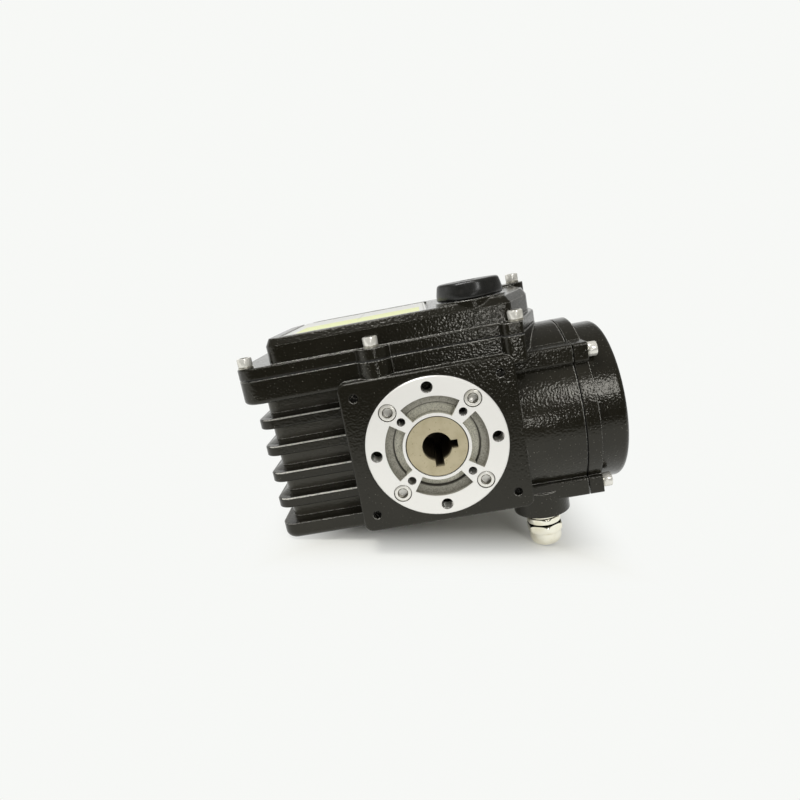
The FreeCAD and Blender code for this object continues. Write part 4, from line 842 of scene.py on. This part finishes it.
# Position feedback: a small moulded gear turns the shaft of a potentiometer in a blue plastic
# case, which a bracket bent from zinc-plated steel sheet holds up from the case floor.
blue_case = moulded("potentiometer_case", rgb(0.02, 0.05, 0.16), rgb(0.03, 0.07, 0.2), 0.35)
dress(blue_case, "potentiometer_body")
dress(zinc, "potentiometer_bracket")


# Electrical pieces: the motor's start capacitor in a spring clip, and in the terminal
# compartment the control board on four pillars, with its relays and a terminal strip.
def shrink_sleeve():
    """The capacitor's aluminium can in a glossy grey-blue shrink sleeve."""
    finish = Finish("capacitor_sleeve")
    place = finish.place
    wrinkles = place.grain(240.0, 3.0, (1.0, 1.0, 0.2))
    finish.set(
        Base_Color=wrinkles.step(0.4, 0.8).mixed(rgb(0.10, 0.13, 0.17), rgb(0.14, 0.17, 0.21)),
        Roughness=0.24 + wrinkles * 0.12,
        IOR=1.5,
    )
    finish.bump(wrinkles, 0.00012, 0.0008)
    return finish.material


dress(shrink_sleeve(), "start_capacitor")
dress(zinc, "capacitor_clip")


def printed_board():
    """Green solder mask over copper tracks, with bright tinned pads."""
    finish = Finish("printed_board")
    place = finish.place
    flat = place.vector("MULTIPLY", (0.0, 1.0, 1.0))
    run = place.node("ShaderNodeCombineXYZ", {}, {"X": place.part("Y"), "Y": place.part("Z")})
    mask = place.node(
        "ShaderNodeTexBrick",
        {"offset": 0.37, "squash": 1.6, "squash_frequency": 3},
        {"Vector": run, "Scale": 1.0, "Brick Width": 0.0082, "Row Height": 0.0026,
         "Mortar Size": 0.0003, "Mortar Smooth": 0.1},
        "Fac",
    )
    dots = place.node(
        "ShaderNodeTexVoronoi",
        {"voronoi_dimensions": "3D"},
        {"Vector": flat, "Scale": 240.0, "Randomness": 0.35},
        "Distance",
    )
    pads = dots.step(0.2, 0.16)
    green = mask.mixed(rgb(0.012, 0.11, 0.04), rgb(0.03, 0.22, 0.075))
    finish.set(
        Base_Color=pads.mixed(green, rgb(0.62, 0.60, 0.55)),
        Metallic=pads,
        Roughness=0.3 + mask * 0.08,
    )
    finish.bump(mask + pads, 0.00005, 0.0002)
    return finish.material


dress(printed_board(), "control_board")
pillars = machined_metal("pillar_nickel", rgb(0.66, 0.63, 0.56), rgb(0.55, 0.51, 0.42), 0.28)
dress(pillars, "board_standoffs")
relay_case = moulded("relay_case", rgb(0.015, 0.06, 0.2), rgb(0.025, 0.08, 0.24), 0.3)
dress(relay_case, "board_relays")
green_strip = moulded("terminal_moulding", rgb(0.02, 0.24, 0.07), rgb(0.035, 0.3, 0.1), 0.36)
dress(green_strip, "terminal_block")


# End stops: two set screws come up through the housing floor to meet the cam, each locked
# with a stainless nut under the case.
def threaded_stainless():
    """Stainless rod with a thread of 1 mm pitch, painted dark in its roots as shade."""
    finish = Finish("set_screw_stainless")
    place = finish.place
    # Painted shade: the thread's roots take the darker colour.
    thread = place.part("Z").wave(0.001)
    finish.set(
        Base_Color=thread.step(-1.0, 0.2).mixed(rgb(0.30, 0.29, 0.27), rgb(0.72, 0.70, 0.66)),
        Metallic=1.0,
        Roughness=0.26 + thread * 0.05,
    )
    finish.bump(thread, 0.0002, 0.0001)
    return finish.material


dress(threaded_stainless(), "stop_screws")


def hex_turned(across, rings, bore_r, cuts=15):
    """A hexagon bar turned down: rings of (height, greatest radius), then a bore through it."""
    bar = bmesh.new()
    bmesh.ops.create_circle(bar, segments=6, radius=across / math.sqrt(3))
    bmesh.ops.subdivide_edges(bar, edges=bar.edges[:], cuts=cuts)
    ring = bar.edges[:]
    base = rings[0][0]
    bmesh.ops.translate(bar, vec=(0.0, 0.0, base), verts=bar.verts[:])
    for height, _ in rings[1:]:
        ring = drawn(bar, ring, height)
    limits = dict(rings)
    for vert in bar.verts:
        height = min(limits, key=lambda level: abs(level - vert.co.z))
        vert.co.xy *= min(1.0, limits[height] / vert.co.xy.length)
    last = rings[-1][0]
    for height in (base, last):
        outer = [
            edge for edge in bar.edges
            if all(
                abs(v.co.z - height) < 1e-7 and v.co.xy.length > bore_r + 1e-5
                for v in edge.verts
            )
        ]
        made = bmesh.ops.create_circle(bar, segments=6 * (cuts + 1), radius=bore_r)["verts"]
        bmesh.ops.translate(bar, vec=(0.0, 0.0, height), verts=made)
        mouth = [edge for edge in bar.edges if all(v in made for v in edge.verts)]
        bmesh.ops.bridge_loops(bar, edges=outer + mouth)
    bore = [
        edge for edge in bar.edges
        if all(abs(v.co.xy.length - bore_r) < 1e-6 for v in edge.verts)
        and abs(edge.verts[0].co.z - edge.verts[1].co.z) < 1e-7
    ]
    bmesh.ops.bridge_loops(bar, edges=bore)
    bmesh.ops.recalc_face_normals(bar, faces=bar.faces)
    return bar


nut_line = [(0.0, 5.0), (0.18, 5.3), (0.42, 5.6), (0.6, 6.0),
            (4.4, 6.0), (4.58, 5.6), (4.82, 5.3), (5.0, 5.0)]
nut_foot = -0.0555
nut_hex = 0.010
nut_thread_r = 0.00303
nuts = [Matrix.Translation((*mm(side * 9.8, 48.0), nut_foot)) for side in (-1, 1)]
kept(repeated(hex_turned(nut_hex, [mm(*ring) for ring in nut_line], nut_thread_r), nuts),
     "stop_screw_nuts", stainless, "housing", "stainless", "stop_lock_nuts")


# Control cover: the cast lid over the gears and the motor, coated like the housing, on a
# black gasket. Six stainless cap screws with split spring washers hold it down.
def cover_inside(place):
    """The hollow of the lid, as cast."""
    return place.outside(mm(-84.0, 14.8, 50.0), mm(49.7, 106.3, 72.1)).step(mask_edge, -mask_edge)


def cover_joint(place):
    """The milled face that sits on the gasket."""
    land = place.outside(mm(-106.8, 11.0, 50.0), mm(56.5, 111.0, 54.95))
    return land.step(fine_edge, -fine_edge)


dress(powder_coat("cover_powder_coat", cover_inside, cover_joint), "control_cover")
dress(rubber, "cover_gasket")

low_seats = [mm(x, y, 61.5) for x, y in
             ((-101.5, 15.45), (-26.5, 6.45), (54.7, 6.45), (-91.3, 100.5), (-10.0, 117.55))]
high_seat = mm(71.0, 103.0, 77.6)
washer_t = 0.0013
cover_screw = mm(4.25, 5.0, 4.0, 2.5)
cover_screw_pitch = 0.0008
cover_screw_length = 0.0189
column_height = 0.0161
spring_steel = machined_metal(
    "stainless_spring", rgb(0.50, 0.48, 0.41), rgb(0.34, 0.32, 0.26), 0.28, metal=0.7
)


def spring_washer(inner_r, outer_r, thickness, rise):
    """Square wire coiled once about Z, cut through and left a little open."""
    washer = bmesh.new()
    section = [
        washer.verts.new((radius, 0.0, height))
        for radius, height in (
            (inner_r, 0.0), (outer_r, 0.0), (outer_r, thickness), (inner_r, thickness)
        )
    ]
    face = washer.faces.new(section)
    steps = 56
    wound = math.radians(352)
    bmesh.ops.spin(
        washer,
        geom=[face],
        cent=(0.0, 0.0, 0.0),
        axis=(0.0, 0.0, 1.0),
        dvec=(0.0, 0.0, rise / steps),
        angle=wound,
        steps=steps,
    )
    bmesh.ops.recalc_face_normals(washer, faces=washer.faces)
    return washer


def on_washer(seat):
    """Carries a screw to its place on top of the spring washer."""
    return Matrix.Translation((*seat[:2], seat[2] + washer_t))


short_screw = cap_screw(*cover_screw, cover_screw_length, cover_screw_pitch)
long_screw = cap_screw(*cover_screw, cover_screw_length + column_height, cover_screw_pitch)
cover_caps = repeated(short_screw, [on_washer(seat) for seat in low_seats])
cover_caps = repeated(long_screw, [on_washer(high_seat)], cover_caps)
kept(cover_caps,
     "cover_cap_screws", (stainless, socket_shade), "housing", "stainless", "cover_screws")

split_washer = mm(2.6, 4.35, 1.0, 0.28)
kept(repeated(spring_washer(*split_washer),
              [Matrix.Translation(seat) for seat in (*low_seats, high_seat)]),
     "cover_split_washers", spring_steel, "housing", "stainless", "cover_spring_washers")


# Nameplate: a foil plate in a shallow panel of the cover. It is left bare but for a pale
# green band along its near side and the fine rules of an empty rating table.
def rating_foil():
    """Brushed foil, a pale green band, and a printed frame round rows and one column."""
    finish = Finish("rating_foil")
    place = finish.place
    brushed = place.grain(2200.0, 2.0, (0.03, 1.0, 1.0))
    line = 0.0002
    row_pitch = 0.009
    column_x = -0.035
    band = place.outside(mm(-70.0, 10.0, 70.0), mm(3.5, 58.0, 80.0)).step(mask_edge, -mask_edge)
    fields = place.outside(mm(-72.0, 40.0, 70.0), mm(2.0, 94.0, 80.0)).step(0.0, -line)
    rows = abs(place.part("Y").wave(2 * row_pitch)).step(0.07, 0.03)
    column = abs(place.part("X") - column_x).step(0.0003, line)
    rules = rows.greater(column) * fields
    within = place.outside(mm(-76.0, 20.5, 70.0), mm(6.0, 100.0, 80.0)).step(-line, 0.0)
    border = place.outside(mm(-76.5, 20.0, 70.0), mm(6.5, 100.5, 80.0)).step(0.0, -line)
    ink = within.step(0.4, 0.6) * border
    foil = brushed.mixed(rgb(0.88, 0.88, 0.85), rgb(0.78, 0.78, 0.75))
    foil = band.mixed(foil, rgb(0.72, 0.76, 0.36))
    foil = rules.greater(ink).mixed(foil, rgb(0.42, 0.42, 0.40))
    finish.set(
        Base_Color=foil,
        Metallic=0.55 - band * 0.55,
        Roughness=0.3 + brushed * 0.1,
    )
    finish.bump(brushed, 0.00001, 0.0002)
    return finish.material


dress(rating_foil(), "nameplate")


# Terminal cap: a cast drum with a square-eared flange over the terminal compartment, on a
# rubber seal, with four cap screws like those of the cover.
cap_bore_r = 0.0468
cap_end_x = 0.1067
cap_face_x = 0.08487


def cap_inside(place):
    """The hollow of the cap, as cast."""
    drum = place.from_axis(drum_axis, "X") - cap_bore_r
    return drum.greater(place.part("X") - cap_end_x).step(mask_edge, -mask_edge)


def cap_joint(place):
    """The milled face that closes on the drum."""
    land = place.from_axis(drum_axis, "X") - cap_spigot_r
    return land.greater(place.part("X") - cap_face_x).step(fine_edge, -fine_edge)


dress(powder_coat("cap_powder_coat", cap_inside, cap_joint), "terminal_cap")

ears = [(y, z) for y in mm(17.0, 97.0) for z in mm(37.0, -43.0)]
ear_face = 0.0928
ear_screw_length = 0.0221
kept(repeated(cap_screw(*cover_screw, ear_screw_length, cover_screw_pitch),
              [facing((ear_face + washer_t, y, z), (1, 0, 0)) for y, z in ears]),
     "terminal_cap_cap_screws", (stainless, socket_shade), "housing", "stainless",
     "terminal_cap_screws")
kept(repeated(spring_washer(*split_washer),
              [facing((ear_face, y, z), (1, 0, 0)) for y, z in ears]),
     "terminal_cap_split_washers", spring_steel, "housing", "stainless",
     "terminal_cap_spring_washers")


# Cable gland: nickel-plated brass, screwed up into the boss under the compartment. Its body
# and dome nut are turned from hexagon bar; a rubber seal grips the cable that comes later.
def nickel_plate():
    """Bright nickel, yellower where it tarnishes; its seam and the body's groove are painted dark
    as shade.
    """
    finish = Finish("nickel_plated_brass")
    place = finish.place
    waves = place.grain(260.0, 2.0)
    tarnish = place.grain(130.0, 4.0)
    plated = tarnish.step(0.4, 0.8).mixed(rgb(0.95, 0.92, 0.80), rgb(0.84, 0.79, 0.62))
    seam_z = -0.0667
    groove_z = -0.0624
    # Painted shade in the seam under the dome nut and in the body's groove.
    seam = 1.0 - abs(place.part("Z") - seam_z).step(0.0004, 0.0008)
    groove = 1.0 - abs(place.part("Z") - groove_z).step(0.0002, 0.0004)
    finish.set(
        Base_Color=seam.greater(groove).mixed(plated, rgb(0.06, 0.052, 0.03)),
        Metallic=1.0,
        Roughness=0.09 + tarnish * 0.08,
    )
    finish.bump(waves, 0.00003, 0.0003)
    return finish.material


nickel = nickel_plate()
gland_at = mm(57.4, 26.0)
gland_hex = 0.020
body_bore_r = 0.00555
dome_bore_r = 0.0059
collar_line = [
    (-66.3, 10.0), (-66.0, 10.3), (-65.6, 10.4), (-63.1, 10.4), (-62.8, 10.25), (-62.6, 9.65),
    (-62.2, 9.65), (-62.0, 10.1), (-61.8, 10.2), (-59.3, 10.2), (-59.1, 10.1), (-58.9, 9.9),
]
collar = hex_turned(gland_hex, [mm(*ring) for ring in collar_line], body_bore_r)
lower_thread = [(5.5, -66.2), (8.4, -66.2), (8.6, -66.3), (8.6, -71.1), (5.5, -71.1)]
turned(collar, [mm(*point) for point in lower_thread], 64)
crest_r, root_r, pitch = 7.95, 7.1, 1.5
stem = [(5.5, -59.4)]
height = -59.2
while height < -47.6:
    stem += [(crest_r, height), (root_r, height + pitch / 2)]
    height += pitch
stem += [(crest_r, -47.2), (7.4, -47.0), (5.5, -47.0), (5.5, -59.4)]
turned(collar, [mm(*point) for point in stem], 64)
bmesh.ops.translate(collar, vec=(*gland_at, 0.0), verts=collar.verts[:])
kept(collar, "gland_threaded_body", nickel, "housing", "nickel_brass", "gland_body")

dome_line = [
    (-67.1, 10.15), (-67.3, 10.5), (-67.6, 10.85), (-67.9, 11.05), (-68.2, 11.25),
    (-71.0, 11.25), (-71.35, 11.05), (-71.65, 10.85), (-71.95, 10.6), (-72.2, 10.35),
    (-72.45, 10.1), (-72.7, 9.85), (-73.2, 9.8), (-75.5, 9.8), (-77.0, 9.72), (-78.0, 9.45),
    (-78.8, 9.05), (-79.5, 8.5), (-80.1, 7.85), (-80.6, 7.1), (-80.95, 6.5), (-81.1, 6.15),
]
nut = hex_turned(gland_hex, [mm(*ring) for ring in dome_line], dome_bore_r, 19)
bmesh.ops.translate(nut, vec=(*gland_at, 0.0), verts=nut.verts[:])
kept(nut, "gland_dome_nut", nickel, "housing", "nickel_brass", "gland_nut")
dress(rubber, "gland_washer")


# Table: a white sheet under the object, tilted to the lean that it has in the photograph. It
# takes the object's shadow close by and is lit evenly further out.
studio_white = rgb(0.93, 0.94, 0.92)


def white_sheet():
    """Matt white near the object, studio white beyond, and dark where gloss mirrors its front."""
    finish = Finish("white_sheet")
    place = finish.place
    finish.set(Base_Color=rgb(0.84, 0.83, 0.765), Roughness=0.9)
    away = place.outside(mm(-100.0, 0.0, -400.0), mm(85.0, 118.0, 400.0)).step(-0.050, 0.026)
    rays = finish.tree.nodes.new("ShaderNodeLightPath")
    mirrored = Value(finish.tree, rays.outputs["Is Glossy Ray"])
    front = place.part("Y").step(-0.13, -0.36) * mirrored
    lit = finish.tree.nodes.new("ShaderNodeEmission")
    tone = front.mixed(studio_white, rgb(0.05, 0.047, 0.04))
    finish.tree.links.new(tone.socket, lit.inputs["Color"])
    mixed = finish.tree.nodes.new("ShaderNodeMixShader")
    finish.tree.links.new(away.socket, mixed.inputs[0])
    finish.tree.links.new(finish.shader.outputs[0], mixed.inputs[1])
    finish.tree.links.new(lit.outputs[0], mixed.inputs[2])
    finish.tree.links.new(mixed.outputs[0], finish.tree.nodes["Material Output"].inputs[0])
    return finish.material


sheet_normal = Vector((0.1989, 0.0, 0.980)).normalized()
sheet_drop = 0.06944
sheet = bmesh.new()
bmesh.ops.create_grid(sheet, x_segments=4, y_segments=4, size=6.0)
laid = facing(sheet_normal * -sheet_drop, sheet_normal)
bmesh.ops.transform(sheet, matrix=laid, verts=sheet.verts[:])
sheet_mesh = bpy.data.meshes.new("table_sheet")
sheet.to_mesh(sheet_mesh)
sheet.free()
sheet_mesh.materials.append(white_sheet())
table_sheet = bpy.data.objects.new("table_sheet", sheet_mesh)
bpy.context.scene.collection.objects.link(table_sheet)


# The studio: a white room that gloss sees only as pale walls behind and beside the object,
# darker to the right, under a grey ceiling. Three soft lamps are aimed at the gear case.
world = bpy.data.worlds.new("white_room")
bpy.context.scene.world = world
world.use_nodes = True
sky = world.node_tree
background = sky.nodes["Background"]
directions = Value(sky, sky.nodes.new("ShaderNodeTexCoord").outputs["Generated"])
rays = sky.nodes.new("ShaderNodeLightPath")
camera_ray = Value(sky, rays.outputs["Is Camera Ray"])
seen = camera_ray.greater(Value(sky, rays.outputs["Is Transmission Ray"]))
glossy = Value(sky, rays.outputs["Is Glossy Ray"])
behind = directions.part("Y").step(-0.15, 0.35)
beside = abs(directions.part("X")).step(0.5, 0.8) * 0.35
high = directions.part("Z")
to_the_right = directions.part("X").step(0.30, 0.60)
dull_light = rgb(0.60, 0.60, 0.58)
ceiling = high.step(0.3, 0.8).mixed(rgb(0.10, 0.097, 0.085), rgb(0.30, 0.295, 0.28))
walls = behind.greater(beside) * high.step(0.62, 0.25) * (1.0 - to_the_right * 0.75)
mirrored = walls.mixed(ceiling, rgb(0.93, 0.935, 0.92))
tone = seen.mixed(glossy.mixed(dull_light, mirrored), studio_white)
sky.links.new(tone.socket, background.inputs["Color"])


def softbox(name, place, size, watts):
    """A rectangular soft lamp at a place, of a width and height, facing the object."""
    light = bpy.data.lights.new(name, "AREA")
    light.shape = "RECTANGLE"
    light.size, light.size_y = size
    light.energy = watts
    lamp = bpy.data.objects.new(name, light)
    bpy.context.scene.collection.objects.link(lamp)
    aim = Vector((0.0, 0.05, 0.0)) - Vector(place)
    turn = aim.to_track_quat("-Z", "Y").to_matrix().to_4x4()
    lamp.matrix_world = Matrix.Translation(place) @ turn


softbox("overhead_softbox", (-0.15, -0.18, 0.9), (0.42, 0.36), 5.0)
softbox("front_right_softbox", (0.38, -0.83, 0.44), (0.16, 0.40), 1.7)
softbox("front_low_softbox", (0.16, -0.9, -0.012), (0.05, 0.05), 0.26)

# The camera stands where the photograph was taken from, 0.32 m in front of the flange: its
# axes were worked out from the ring, the plate's corners and the edges of the cover.
camera = bpy.data.cameras.new("camera")
camera.sensor_width = 36.0
camera.lens = 26.1
camera.clip_start = 0.01
eye = bpy.data.objects.new("camera", camera)
bpy.context.scene.collection.objects.link(eye)
right = Vector((0.9828, 0.0228, -0.1835))
up = Vector((0.1743, 0.2162, 0.9607))
back = right.cross(up).normalized()
up = back.cross(right).normalized()
right = up.cross(back).normalized()
stand = Matrix.Translation((0.0041, -0.3159, 0.0980))
eye.matrix_world = stand @ Matrix((right, up, back)).transposed().to_4x4()
bpy.context.scene.camera = eye
bpy.context.scene.view_settings.view_transform = "Standard"
